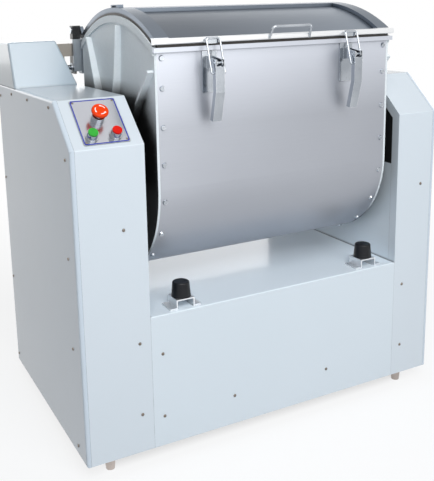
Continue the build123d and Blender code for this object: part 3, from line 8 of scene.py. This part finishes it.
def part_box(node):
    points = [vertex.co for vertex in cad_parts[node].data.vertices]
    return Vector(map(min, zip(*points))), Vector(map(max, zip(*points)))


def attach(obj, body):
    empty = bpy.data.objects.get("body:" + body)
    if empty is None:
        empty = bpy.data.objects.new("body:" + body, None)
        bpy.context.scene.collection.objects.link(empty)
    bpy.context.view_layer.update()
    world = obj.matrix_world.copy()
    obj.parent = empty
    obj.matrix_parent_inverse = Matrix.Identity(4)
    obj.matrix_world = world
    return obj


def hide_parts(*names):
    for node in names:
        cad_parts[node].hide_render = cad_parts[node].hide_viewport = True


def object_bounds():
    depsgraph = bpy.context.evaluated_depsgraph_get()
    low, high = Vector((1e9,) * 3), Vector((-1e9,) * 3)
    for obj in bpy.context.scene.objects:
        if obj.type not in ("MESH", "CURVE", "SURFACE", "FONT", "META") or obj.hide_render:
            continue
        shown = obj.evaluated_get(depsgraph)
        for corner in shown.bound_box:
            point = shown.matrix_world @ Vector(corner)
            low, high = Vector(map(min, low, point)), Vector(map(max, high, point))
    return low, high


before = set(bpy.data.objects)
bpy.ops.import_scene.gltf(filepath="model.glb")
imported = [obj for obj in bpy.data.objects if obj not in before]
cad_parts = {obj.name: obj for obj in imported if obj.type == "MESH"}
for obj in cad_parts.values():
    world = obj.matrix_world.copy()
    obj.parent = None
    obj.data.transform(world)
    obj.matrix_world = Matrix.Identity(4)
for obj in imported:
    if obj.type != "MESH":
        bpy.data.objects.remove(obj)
cad_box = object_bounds()
scene = bpy.context.scene
white = (1.0, 1.0, 1.0, 1.0)


def tone(code):
    """A hexadecimal sRGB colour as linear RGBA."""
    values = [int(code[i : i + 2], 16) / 255 for i in (0, 2, 4)]
    return (*(v / 12.92 if v <= 0.04045 else ((v + 0.055) / 1.055) ** 2.4 for v in values), 1.0)


# Shader nodes
class Nodes:
    """Short calls for the nodes of one shader tree."""

    def __init__(self, tree):
        self.tree = tree

    def node(self, kind, inputs=(), **settings):
        """A node whose inputs are plain values or links from other nodes' sockets."""
        made = self.tree.nodes.new(kind)
        for key, value in settings.items():
            setattr(made, key, value)
        for key, value in dict(inputs).items():
            if isinstance(value, bpy.types.NodeSocket):
                self.tree.links.new(value, made.inputs[key])
            else:
                made.inputs[key].default_value = value
        return made

    def own_place(self):
        """The place in the object's own metres."""
        return self.node("ShaderNodeTexCoord").outputs["Object"]

    def facing(self):
        """The surface's own normal."""
        return self.node("ShaderNodeNewGeometry").outputs["Normal"]

    def vector(self, operation, *values):
        inputs = dict(enumerate(values))
        return self.node("ShaderNodeVectorMath", inputs, operation=operation).outputs["Vector"]

    def measure(self, operation, *values):
        """A vector operation whose result is one number."""
        inputs = dict(enumerate(values))
        return self.node("ShaderNodeVectorMath", inputs, operation=operation).outputs["Value"]

    def scaled(self, colour, share):
        inputs = {0: colour, "Scale": share}
        return self.node("ShaderNodeVectorMath", inputs, operation="SCALE").outputs["Vector"]

    def along(self, vector, axis):
        return self.node("ShaderNodeSeparateXYZ", {0: vector}).outputs[axis]

    def math(self, operation, first, second):
        return self.node("ShaderNodeMath", {0: first, 1: second}, operation=operation).outputs[0]

    def remap(self, value, low, high, start, end):
        """A value from low to high as start to end, held at both ends."""
        inputs = {
            "Value": value,
            "From Min": low,
            "From Max": high,
            "To Min": start,
            "To Max": end,
        }
        return self.node("ShaderNodeMapRange", inputs).outputs[0]

    def mix(self, factor, first, second):
        inputs = {0: factor, 6: first, 7: second}
        return self.node("ShaderNodeMix", inputs, data_type="RGBA").outputs[2]

    def seen_directly(self):
        """1 for camera, glossy and transmission rays."""
        path = self.node("ShaderNodeLightPath")
        total = path.outputs["Is Camera Ray"]
        for ray in ("Is Glossy Ray", "Is Transmission Ray"):
            total = self.math("MAXIMUM", total, path.outputs[ray])
        return total


class Finish(Nodes):
    """A procedural material on a Principled shader, with textures in the object's own metres."""

    def __init__(self, name, fixed):
        self.material = bpy.data.materials.new(name)
        self.material.use_nodes = True
        super().__init__(self.material.node_tree)
        self.shader = self.tree.nodes["Principled BSDF"]
        for socket, value in fixed.items():
            self.shader.inputs[socket].default_value = value
        self.place = self.own_place()
        self.normal = None

    def stretched(self, x, y, z):
        """The place multiplied along each axis."""
        return self.vector("MULTIPLY", self.place, (x, y, z))

    def noise(self, scale, detail=2.0, rough=0.5, place=None, distortion=0.0):
        inputs = {
            "Vector": place or self.place,
            "Scale": scale,
            "Detail": detail,
            "Roughness": rough,
            "Distortion": distortion,
        }
        return self.node("ShaderNodeTexNoise", inputs).outputs[0]

    def rings(self, centre_y, centre_z, scale, detail):
        """Noise that only changes with the distance from an axis along X, like turning marks."""
        moved = self.vector("ADD", self.place, (0, -centre_y, -centre_z))
        across = self.vector("MULTIPLY", moved, (0, 1, 1))
        inputs = {"W": self.measure("LENGTH", across), "Scale": scale, "Detail": detail}
        return self.node("ShaderNodeTexNoise", inputs, noise_dimensions="1D").outputs[0]

    def mottled(self, pattern, light, dark, low=0.3, high=0.7):
        """A colour that goes from dark to light with a pattern."""
        return self.mix(self.remap(pattern, low, high, 0.0, 1.0), tone(dark), tone(light))

    def edges(self, width, share):
        """The share along the edges and 0 on the flats."""
        rounded = self.node("ShaderNodeBevel", {"Radius": width}, samples=4).outputs[0]
        agreement = self.measure("DOT_PRODUCT", rounded, self.facing())
        sharpest = 0.94
        return self.math("MULTIPLY", self.remap(agreement, 1.0, sharpest, 0.0, 1.0), share)

    def crevices(self, reach, low=0.35, high=0.85):
        """1 deep in seams and corners and 0 in the open: the mask for painted shade."""
        occlusion = self.node("ShaderNodeAmbientOcclusion", {"Distance": reach}, samples=8)
        return self.remap(occlusion.outputs["AO"], low, high, 1.0, 0.0)

    def bump(self, height, distance, strength=1.0):
        inputs = {"Height": height, "Distance": distance, "Strength": strength}
        if self.normal is not None:
            inputs["Normal"] = self.normal
        self.normal = self.node("ShaderNodeBump", inputs).outputs[0]

    def feed(self, socket, value):
        self.tree.links.new(value, self.shader.inputs[socket])

    def done(self, colour, roughness):
        self.feed("Base Color", colour)
        self.feed("Roughness", roughness)
        self.feed("Normal", self.normal)
        return self.material


# Procedural finishes: lengths are in metres, texture scales in cycles per metre
# Reach of the ambient occlusion that paints shade into seams
seam_shade_reach = 0.008


def enamel(name, light, dark, gloss=0.215, wear="8E979E", coat=0.35, seam_shade="3C4349", top_light_share=1.0):
    """Baked paint on sheet metal: orange peel, slow waves, dust specks, rubbed edges, painted
    shade in seams.

    Faces that look up get painted light and shade: their colour is scaled by the given share."""
    f = Finish(name, {"Coat Weight": coat, "Coat Roughness": 0.09, "IOR": 1.5})
    cloud_scale, gloss_scale, speck_scale, rub_scale = 2.2, 4.0, 520.0, 38.0
    base = f.mottled(f.noise(cloud_scale, 2.0, 0.4), light, dark, 0.15, 0.85)
    specks = f.remap(f.noise(speck_scale, 1.0), 0.72, 0.80, 0.0, 0.16)
    base = f.mix(specks, base, tone(wear))
    patches = f.remap(f.noise(rub_scale, 4.0), 0.5, 0.7, 0.0, 0.3)
    base = f.mix(f.edges(0.0022, patches), base, tone(wear))
    # Painted light and shade: faces that look up are scaled by the given share, darker below 1
    # and lighter above it
    painted_top_light = f.remap(f.along(f.facing(), "Z"), 0.62, 0.98, 1.0, top_light_share)
    base = f.scaled(base, painted_top_light)
    # Painted shade: darker in seams and corners, from ambient occlusion
    painted_seam_shade = f.math("MULTIPLY", f.crevices(seam_shade_reach, 0.4, 0.92), 0.85)
    gloss_noise = f.noise(gloss_scale, 2.0, 0.4)
    wave_scale, wave_height = 1.7, 0.0008
    peel_scale, peel_height = 460.0, 0.00003
    f.bump(f.noise(wave_scale, 1.0), wave_height)
    f.bump(f.noise(peel_scale, 2.0), peel_height, 0.5)
    return f.done(
        f.mix(painted_seam_shade, base, tone(seam_shade)),
        f.remap(gloss_noise, 0.15, 0.85, gloss - 0.03, gloss + 0.05),
    )


def brushed(name, light, dark, rough, smudge=0.1, grain=0.3, aniso=0.5, seam_shade=0.6):
    """Metal brushed or rolled along X: streaks, cloudy smudges, a stretched highlight and painted
    shade in seams.
    """
    f = Finish(name, {"Metallic": 1.0, "Anisotropic": aniso})
    streaks = f.noise(1.0, 3.0, 0.6, f.stretched(1.2, 60.0, 60.0))
    lines = f.noise(1.0, 2.0, 0.7, f.stretched(14.0, 1100.0, 1100.0))
    clouds = f.noise(2.2, 3.0, 0.5)
    base = f.mottled(clouds, light, dark)
    base = f.mix(f.remap(streaks, 0.35, 0.75, 0.0, 0.18), base, tone(dark))
    base = f.mix(f.remap(lines, 0.32, 0.68, 0.0, grain), base, tone(dark))
    # Painted shade: darker in seams and corners, by the given share
    painted_seam_shade = f.math("MULTIPLY", f.crevices(seam_shade_reach), seam_shade)
    cloudy = f.remap(clouds, 0.3, 0.7, rough - smudge / 2, rough + smudge / 2)
    ridged = f.remap(lines, 0.3, 0.7, -0.04, 0.05)
    f.bump(lines, 0.00001, 0.4)
    turn = f.node("ShaderNodeTangent", direction_type="RADIAL", axis="X").outputs[0]
    f.feed("Tangent", turn)
    return f.done(f.mix(painted_seam_shade, base, tone("3C4248")), f.math("ADD", cloudy, ridged))


def bright(name, light, dark, rough=0.18, scratch=0.5, shine="F1F3F5"):
    """Bright pressed or turned metal: fine random scratches, finger smudges, polished edges."""
    f = Finish(name, {"Metallic": 1.0})
    smudges = f.noise(9.0, 3.0, 0.5)
    scratches = f.noise(1.0, 2.0, 0.6, f.stretched(240.0, 1500.0, 90.0), 0.6)
    base = f.mottled(smudges, light, dark)
    base = f.mix(f.remap(scratches, 0.62, 0.72, 0.0, scratch), base, tone(dark))
    f.bump(scratches, 0.00001, 0.5)
    return f.done(
        f.mix(f.edges(0.0014, 0.7), base, tone(shine)),
        f.remap(smudges, 0.3, 0.7, rough - 0.04, rough + 0.08),
    )


def turned(name, node):
    """Machined steel with turning marks round the node's own axis and a film of oil."""
    low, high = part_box(node)
    middle = (low + high) / 2
    f = Finish(name, {"Metallic": 1.0, "Coat Weight": 0.25, "Coat Roughness": 0.2})
    marks = f.rings(middle.y, middle.z, 700.0, 3.0)
    film = f.noise(22.0, 5.0, 0.6)
    base = f.mottled(marks, "A7ABAE", "85898D")
    base = f.mix(f.remap(film, 0.5, 0.75, 0.0, 0.55), base, tone("3A342B"))
    f.bump(marks, 0.00006, 0.6)
    return f.done(
        f.mix(f.edges(0.0015, 0.5), base, tone("B9BDC0")),
        f.remap(film, 0.3, 0.7, 0.28, 0.48),
    )


def blasted(name, light, dark, rough, pit_depth, painted_shade_top=None):
    """Bead-blasted or cast metal: pitted grain, stains, and near-black painted shade in deep gaps
    below a height.
    """
    f = Finish(name, {"Metallic": 0.1})
    pits = f.noise(620.0, 3.0, 0.6)
    base = f.mottled(f.noise(7.0, 5.0, 0.6), light, dark)
    base = f.mix(f.remap(pits, 0.55, 0.72, 0.0, 0.3), base, tone("4F565B"))
    base = f.mix(f.edges(0.002, 0.4), base, tone("D8DEE2"))
    # Painted shade: near black in deep gaps below the given height
    if painted_shade_top is not None:
        below = f.remap(f.along(f.place, "Z"), painted_shade_top - 0.04, painted_shade_top, 1.0, 0.0)
        painted_shade = f.math("MULTIPLY", f.crevices(0.3, 0.35, 0.75), below)
        base = f.mix(painted_shade, base, tone("060708"))
    f.bump(pits, pit_depth, 0.7)
    return f.done(base, f.remap(pits, 0.3, 0.7, rough - 0.06, rough + 0.1))


def rubber(
    name, light, dark, rough, grain=240.0, grain_depth=0.00012, dust="8C9094", specular=0.45
):
    """Moulded rubber: mould grain, dust in the hollows and worn shiny spots."""
    f = Finish(name, {"Specular IOR Level": specular})
    grainy = f.noise(grain, 4.0, 0.65)
    worn = f.noise(20.0, 3.0, 0.5)
    base = f.mottled(worn, light, dark)
    hollows = f.remap(grainy, 0.52, 0.75, 0.0, 0.16)
    patches = f.remap(f.noise(11.0, 3.0), 0.35, 0.65, 0.3, 1.0)
    f.bump(grainy, grain_depth, 0.6)
    return f.done(
        f.mix(f.math("MULTIPLY", hollows, patches), base, tone(dust)),
        f.remap(worn, 0.3, 0.7, rough - 0.1, rough + 0.1),
    )


def moulded(name, light, dark, rough, coat=0.0, specular=0.5):
    """Moulded plastic or ink: faint flow marks, fine texture and handling marks."""
    fixed = {"Coat Weight": coat, "Coat Roughness": 0.12, "Specular IOR Level": specular}
    f = Finish(name, fixed)
    base = f.mottled(f.noise(60.0, 3.0, 0.5, distortion=0.6), light, dark)
    handled = f.noise(140.0, 3.0)
    f.bump(f.noise(1600.0, 2.0), 0.00003, 0.5)
    return f.done(
        f.mix(f.edges(0.0008, 0.25), base, tone(light)),
        f.remap(handled, 0.3, 0.7, rough - 0.06, rough + 0.08),
    )


def recoloured(material, change):
    """A finished material whose base colour goes through one more change."""
    f = Nodes(material.node_tree)
    base = f.tree.nodes["Principled BSDF"].inputs["Base Color"]
    f.tree.links.new(change(f, base.links[0].from_socket), base)
    return material


def highlight_painted_below(material, top, highlight):
    """The same metal with a painted highlight: near white below a height."""

    def change(f, colour):
        share = f.remap(f.along(f.own_place(), "Z"), top, top + 0.002, 0.85, 0.0)
        return f.mix(share, colour, tone(highlight))

    return recoloured(material, change)


def shaded_along(material, axis, start, end, darkest):
    """The same metal with painted shade: its colour rises along an axis from its darkest share to
    its own.
    """

    def change(f, colour):
        rise = f.remap(f.along(f.own_place(), axis), start, end, darkest, 1.0)
        return f.scaled(colour, rise)

    return recoloured(material, change)


# The finish of each of the record's material slots
finishes = {
    "cover_enamel": enamel("cover_enamel", "E0EBF4", "DCE8F1"),
    # Satin black frame paint, made near black as painted shade on the towers' inner wall plates
    # beside the trough
    "frame_paint": enamel(
        "frame_paint", "1D1E20", "141517", gloss=0.5, wear="3A3D40", coat=0.05, seam_shade="08090A"
    ),
    # Painted shade: the trough darker towards the bottom, down to 0.69 of its colour below 0.84 m
    "stainless_trough": shaded_along(
        brushed("stainless_trough", "C9CDD5", "C2C6CF", 0.46, grain=0.14), "Z", 0.84, 1.0, 0.69
    ),
    # The end plates get near-black painted shade below 0.945 m, in the gap beside the towers
    "end_steel": blasted("end_steel", "EAF2F6", "E1EAF0", 0.5, 0.0001, painted_shade_top=0.945),
    "bright_steel": bright("bright_steel", "BCC1C7", "9AA0A7"),
    "zinc": bright("zinc", "F2F4F6", "E2E6EA", 0.42, scratch=0.15),
    "cast_grey": blasted("cast_grey", "8B9196", "787E84", 0.6, 0.0004),
    "gear_steel": turned("gear_steel", "main_gear"),
    "black_block": rubber(
        "black_block", "1E2022", "131415", 0.38, grain=420.0, grain_depth=0.00008
    ),
    "silicone": rubber("silicone", "34302D", "262321", 0.5, dust="6E675F"),
    "control_silver": brushed(
        "control_silver", "C8CAD0", "BDBFC6", 0.21, smudge=0.03, grain=0.2, aniso=0.2, seam_shade=0.5
    ),
    # Chrome made darker as a painted reflection: its colour stands in for the trim's dark
    # reflections
    "chrome_trim": bright("chrome_trim", "B9BDC1", "8A8F94", 0.1, scratch=0.3),
    "estop_red": moulded("estop_red", "F04400", "E63A00", 0.36, specular=0.18),
    "start_green": moulded("start_green", "3CB23F", "2F9C34", 0.35, specular=0.2),
    "stop_red": moulded("stop_red", "E01A06", "CC1204", 0.35, specular=0.2),
    "motor_paint": enamel(
        "motor_paint", "6E8291", "5F7280", gloss=0.36, wear="3E464C", coat=0.15
    ),
    "box_grey": enamel("box_grey", "BFC1BE", "B3B5B1", gloss=0.34, wear="8A8B88", coat=0.1),
    "gland_black": rubber(
        "gland_black", "1B1C1D", "111213", 0.38, grain=500.0, grain_depth=0.00005
    ),
    "bush_plastic": moulded("bush_plastic", "E4E2DA", "D5D2C8", 0.4, coat=0.1),
    "arm_grey": enamel("arm_grey", "A59F97", "968F86", gloss=0.38, wear="6A645C", coat=0.1),
}

# Nodes with a finish of their own
lid_metal = {"rough": 0.35, "smudge": 0.05, "grain": 0.2}
own = {
    # Painted highlight: the lid frame near white below the top of the lid catches
    "lid_frame": highlight_painted_below(
        brushed("lid_frame_steel", "757D87", "6A727C", **lid_metal),
        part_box("lid_catches")[1].z,
        "F6F7F8",
    ),
    # Painted shade: the lid sheet darker towards -X, down to 0.58 of its colour
    "lid_sheet": shaded_along(
        brushed("lid_sheet_steel", "8B939D", "818994", **lid_metal), "X", -0.2, 0.26, 0.58
    ),
    # The hood: a darker copy of the cover enamel, darker still on faces that look up: painted
    # shade
    "drive_hood": enamel("hood_enamel", "B1BFCA", "ACBBC6", top_light_share=0.92),
    # The deck: painted light, lighter on faces that look up
    "deck_panel": enamel("deck_enamel", "E0EBF4", "DCE8F1", top_light_share=1.06),
    "drive_belts": rubber(
        "belt_rubber", "1C1C1D", "121213", 0.6, grain=900.0, grain_depth=0.0001
    ),
    "feet": bright("foot_steel", "C9BFB9", "A89F9A", 0.33),
    "hinge_brackets": brushed("bracket_steel", "C4C9CE", "AAB0B6", 0.37, smudge=0.06),
    "buffer_rubbers": rubber(
        "buffer_rubber", "0B0E15", "06080C", 0.38, grain=300.0, dust="23262D", specular=0.3
    ),
}
for name in ("countershaft", "driven_pulley", "motor_pulley", "motor_shaft"):
    own[name] = turned("gear_steel_" + name, name)
# Front covers: painted shade, darker on faces that look up
for name in ("left_front_cover", "right_front_cover"):
    own[name] = enamel("painted_shade_enamel_" + name, "DDE7F0", "D9E4ED", top_light_share=0.66)
# Side covers: a darker copy of the cover enamel, and darker on faces that look up: painted shade
for name in ("left_side_cover", "right_side_cover"):
    own[name] = enamel("painted_shade_enamel_" + name, "D2DFEB", "CEDBE8", top_light_share=0.74)
for name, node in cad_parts.items():
    for held in node.material_slots:
        held.material = own.get(name) or finishes[held.material.name.split(".")[0]]


# Small pieces built as meshes
def piece(name, mesh, body, finish, smooth=None):
    """A mesh piece that rides on a body, with its edges kept sharp above an angle in degrees."""
    data = bpy.data.meshes.new(name)
    bmesh.ops.recalc_face_normals(mesh, faces=mesh.faces)
    mesh.to_mesh(data)
    mesh.free()
    made = bpy.data.objects.new(name, data)
    scene.collection.objects.link(made)
    data.materials.append(finish)
    if smooth is not None:
        data.shade_smooth()
        sharp = made.modifiers.new("Sharp edges", "EDGE_SPLIT")
        sharp.split_angle = radians(smooth)
    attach(made, body)
    return made


def basis(centre, normal, across):
    """A matrix whose Z is the normal and whose X is the across direction."""
    up = Vector(normal).normalized()
    side = Vector(across).normalized()
    matrix = Matrix((side, up.cross(side), up)).transposed().to_4x4()
    return Matrix.Translation(centre) @ matrix


def strip(mesh, inner, outer, matrix, thickness, closed):
    """A flat band between two rows of points, with a thickness along the matrix's Z."""
    rows = []
    for height in (0.0, thickness):
        for row in (inner, outer):
            rows.append([mesh.verts.new(matrix @ Vector((x, y, height))) for x, y in row])
    low_in, low_out, high_in, high_out = rows
    count = len(inner)
    for i in range(count if closed else count - 1):
        j = (i + 1) % count
        mesh.faces.new((high_in[i], high_in[j], high_out[j], high_out[i]))
        mesh.faces.new((high_out[i], high_out[j], low_out[j], low_out[i]))
        mesh.faces.new((low_in[i], low_in[j], high_in[j], high_in[i]))
    if not closed:
        for i in (0, count - 1):
            mesh.faces.new((low_in[i], low_out[i], high_out[i], high_in[i]))


def rounded_rectangle(width, height, corner, steps=6):
    """Points round a rectangle with rounded corners."""
    points = []
    for quarter, (sx, sy) in enumerate(((1, 1), (-1, 1), (-1, -1), (1, -1))):
        for step in range(steps + 1):
            angle = quarter * pi / 2 + step / steps * pi / 2
            x = sx * (width / 2 - corner) + corner * cos(angle)
            y = sy * (height / 2 - corner) + corner * sin(angle)
            points.append((x, y))
    return points


# The sloped console: its place comes from the control plate's own box
slope_run, slope_rise = 0.110, 0.102
slope = hypot(slope_run, slope_rise)
console_normal = Vector((0, -slope_rise / slope, slope_run / slope))
plate_width, plate_height, plate_thickness = 0.112, 0.132, 0.002
plate_low, plate_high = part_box("control_plate")
plate_top = (plate_low + plate_high) / 2 + console_normal * (plate_thickness / 2)


def on_console(x, y, height):
    """A matrix on the control plate, its Z square to the plate."""
    return basis(plate_top, console_normal, (1, 0, 0)) @ Matrix.Translation((x, y, height))


def border_line(inset, corner):
    """Points round the control plate at a distance inside its edge."""
    return rounded_rectangle(plate_width - 2 * inset, plate_height - 2 * inset, corner)


# The border line printed round the control plate
ink_thickness = 0.00012
border_inset, border_width = 0.0008, 0.0027
inner_corner, outer_corner = 0.0045, 0.006
inner_line = border_line(border_inset + border_width, inner_corner)
outer_line = border_line(border_inset, outer_corner)
border = bmesh.new()
strip(border, inner_line, outer_line, on_console(0, 0, 0), ink_thickness, True)
border_ink = moulded("border_ink", "2A3AA8", "222F96", 0.45, specular=0.2)
piece("plate_border", border, "machine", border_ink)

# Three turn arrows printed on the emergency stop's head, each a band that ends in a point
estop_x, estop_y, head_top = -0.004, 0.0045, 0.035
arrow_count, arrow_start, arrow_sweep = 3, radians(18), radians(74)
arrow_radius, arrow_half = 0.0122, 0.0011
arrow_widths = [arrow_half] * 11 + [arrow_half * share for share in (2.3, 1.6, 0.9, 0.15)]
arrow_steps = len(arrow_widths) - 1
arrows = bmesh.new()
head_matrix = on_console(estop_x, estop_y, head_top)


def round_head(angle, radius):
    """A point at an angle round the stop head's axis."""
    return radius * cos(angle), radius * sin(angle)


for arrow in range(arrow_count):
    start = arrow * 2 * pi / arrow_count + arrow_start
    angles = [start + arrow_sweep * step / arrow_steps for step in range(arrow_steps + 1)]
    inner = [round_head(a, arrow_radius - w) for a, w in zip(angles, arrow_widths)]
    outer = [round_head(a, arrow_radius + w) for a, w in zip(angles, arrow_widths)]
    strip(arrows, inner, outer, head_matrix, ink_thickness, False)
white_ink = moulded("white_ink", "F4F4F2", "E8E8E6", 0.4, coat=0.1)
piece("estop_arrows", arrows, "estop_knob", white_ink)


# Pan-head screws with a cross recess, one on each plain head of the CAD node
def clusters(node, reach):
    """The corners of each separate fastener in a node."""
    groups = []
    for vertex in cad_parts[node].data.vertices:
        for group in groups:
            if (group[0] - vertex.co).length < reach:
                group.append(vertex.co)
                break
        else:
            groups.append([vertex.co])
    return groups


def pan_head(mesh, matrix, radius, height):
    """A domed head with a cross recess, its foot on the matrix's XY plane."""
    rings, around, fullness = 9, 32, 3.2
    recess = radius * 0.62
    recess_width, recess_depth, recess_slope = recess * 0.30, height * 0.62, 0.55
    rows = []
    for ring in range(rings + 1):
        share = ring / rings
        row = []
        for step in range(around):
            angle = 2 * pi * step / around
            x, y = radius * share * cos(angle), radius * share * sin(angle)
            z = height * (1 - share**fullness) ** 0.5
            near_axis, out = sorted((abs(x), abs(y)))
            if near_axis < recess_width and out < recess:
                z -= recess_depth * (1 - out / recess * recess_slope)
            row.append(mesh.verts.new(matrix @ Vector((x, y, max(z, 0.0)))))
            if ring == 0:
                break
        rows.append(row)
    for step in range(around):
        following = (step + 1) % around
        mesh.faces.new((rows[0][0], rows[1][step], rows[1][following]))
        for ring in range(1, rings):
            near, far = rows[ring], rows[ring + 1]
            mesh.faces.new((near[step], far[step], far[following], near[following]))


heads = bmesh.new()
screw_reach = 0.012
tallest_upright, console_head_height = 0.0027, 0.0016
first_turn, turn_step, turn_kinds = 17, 53, 7
for group in clusters("cover_screws", screw_reach):
    low = Vector(min(co[i] for co in group) for i in range(3))
    high = Vector(max(co[i] for co in group) for i in range(3))
    centre, size = (low + high) / 2, high - low
    thin = min(size)
    if thin < tallest_upright:
        axis = [i for i in range(3) if size[i] == thin][0]
        normal = Vector((0, 0, 0))
        normal[axis] = 1.0 if centre[axis] > 0 else -1.0
        across = (0, 0, 1)
        radius, height = max(size) / 2, thin
    else:
        normal, across = console_normal, (1, 0, 0)
        radius, height = size.x / 2, console_head_height
    foot = centre - normal * height / 2
    turn = radians(first_turn + turn_step * (len(heads.verts) % turn_kinds))
    matrix = basis(foot, normal, across) @ Matrix.Rotation(turn, 4, "Z")
    pan_head(heads, matrix, radius, height)
screw_steel = bright("screw_steel", "8C837B", "6C655E", 0.33, shine="7A726A")
screws = piece("screw_heads", heads, "machine", screw_steel, smooth=50)
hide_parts("cover_screws")

# Camera at the photograph's viewpoint: focal length 729.8 px on a 434 x 481 image
image_width, image_height = 434, 481
centre_x, centre_y = 172.0, 159.0
focal_pixels = 729.8
sensor = 36.0
camera_place = (-1.0269, -1.8222, 1.1164)
yaw, pitch, roll = 25.848, 11.550, -1.636
camera_data = bpy.data.cameras.new("camera")
camera_data.sensor_width = sensor
camera_data.lens = focal_pixels * sensor / image_height
camera_data.shift_x = (image_width / 2 - centre_x) / image_height
camera_data.shift_y = (centre_y - image_height / 2) / image_height
camera = bpy.data.objects.new("camera", camera_data)
scene.collection.objects.link(camera)
stance = Matrix.Translation(camera_place)
for angle, axis in ((-yaw, "Z"), (90 - pitch, "X"), (roll, "Z")):
    stance = stance @ Matrix.Rotation(radians(angle), 4, axis)
camera.matrix_world = stance
scene.camera = camera

# White sweep: the floor shows white to the camera and in reflections, and keeps the shadow.
# The white fades in with the distance, and is left out deep under the machine.
paper = bpy.data.materials.new("paper_floor")
paper.use_nodes = True
paper.node_tree.nodes.clear()
f = Nodes(paper.node_tree)
seen = f.seen_directly()
grain = f.remap(f.node("ShaderNodeTexNoise", {"Scale": 3.0}).outputs[0], 0.0, 1.0, -0.02, 0.02)
sheet = f.math("ADD", grain, f.remap(seen, 0.0, 1.0, 0.38, 0.90))
tints = {"Red": 0.95, "Green": 1.0, "Blue": 1.05}
channels = {channel: f.math("MULTIPLY", sheet, tint) for channel, tint in tints.items()}
paint = f.node("ShaderNodeCombineColor", channels).outputs[0]
diffuse = f.node("ShaderNodeBsdfDiffuse", {"Color": paint}).outputs[0]
glow = f.node("ShaderNodeEmission", {"Color": white, "Strength": 1.0}).outputs[0]
place = f.own_place()
fade = f.remap(f.measure("LENGTH", place), 1.0, 2.6, 0.82, 1.0)
edge = (cad_box[1][0], cad_box[1][1], 0.0)
beyond = f.vector("SUBTRACT", f.vector("ABSOLUTE", place), edge)
outside = f.math("MAXIMUM", f.along(beyond, "X"), f.along(beyond, "Y"))
open_floor = f.remap(outside, -0.24, -0.06, 0.0, 1.0)
share = f.math("MULTIPLY", seen, f.math("MULTIPLY", fade, open_floor))
blend = f.node("ShaderNodeMixShader", {"Fac": share, 1: diffuse, 2: glow}).outputs[0]
f.node("ShaderNodeOutputMaterial", {"Surface": blend})

floor_radius = 40.0
floor_mesh = bmesh.new()
bmesh.ops.create_circle(floor_mesh, cap_ends=True, segments=96, radius=floor_radius)
floor_data = bpy.data.meshes.new("floor")
floor_mesh.to_mesh(floor_data)
floor_mesh.free()
floor_data.materials.append(paper)
floor = bpy.data.objects.new("floor", floor_data)
scene.collection.objects.link(floor)

# The world is white where it is seen, and lights the machine only a little
world_light = 0.08
world = bpy.data.worlds.new("studio")
scene.world = world
world.use_nodes = True
f = Nodes(world.node_tree)
sky = f.tree.nodes["Background"]
sky.inputs["Color"].default_value = white
level = f.remap(f.seen_directly(), 0.0, 1.0, world_light, 1.0)
f.tree.links.new(level, sky.inputs["Strength"])

# Rectangular studio lamps, all aimed at the machine's middle: place, width, height and watts
aim = Vector((0.0, 0.0, 0.5))
lamps = {
    "key": ((-0.8, -3.3, 4.1), 4.0, 3.2, 192.0),
    "fill": ((0.1, -4.4, 1.7), 4.0, 2.4, 57.0),
    "back": ((0.0, 4.6, 2.0), 9.0, 2.8, 90.0),
    "right": ((4.2, 0.3, 1.7), 3.0, 2.4, 38.0),
}
for name, (place, width, height, watts) in lamps.items():
    light = bpy.data.lights.new(name, "AREA")
    light.shape = "RECTANGLE"
    light.size, light.size_y = width, height
    light.energy = watts
    lamp = bpy.data.objects.new(name, light)
    scene.collection.objects.link(lamp)
    lamp.location = place
    lamp.rotation_euler = (aim - Vector(place)).to_track_quat("-Z", "Y").to_euler()

scene.view_settings.view_transform = "Standard"
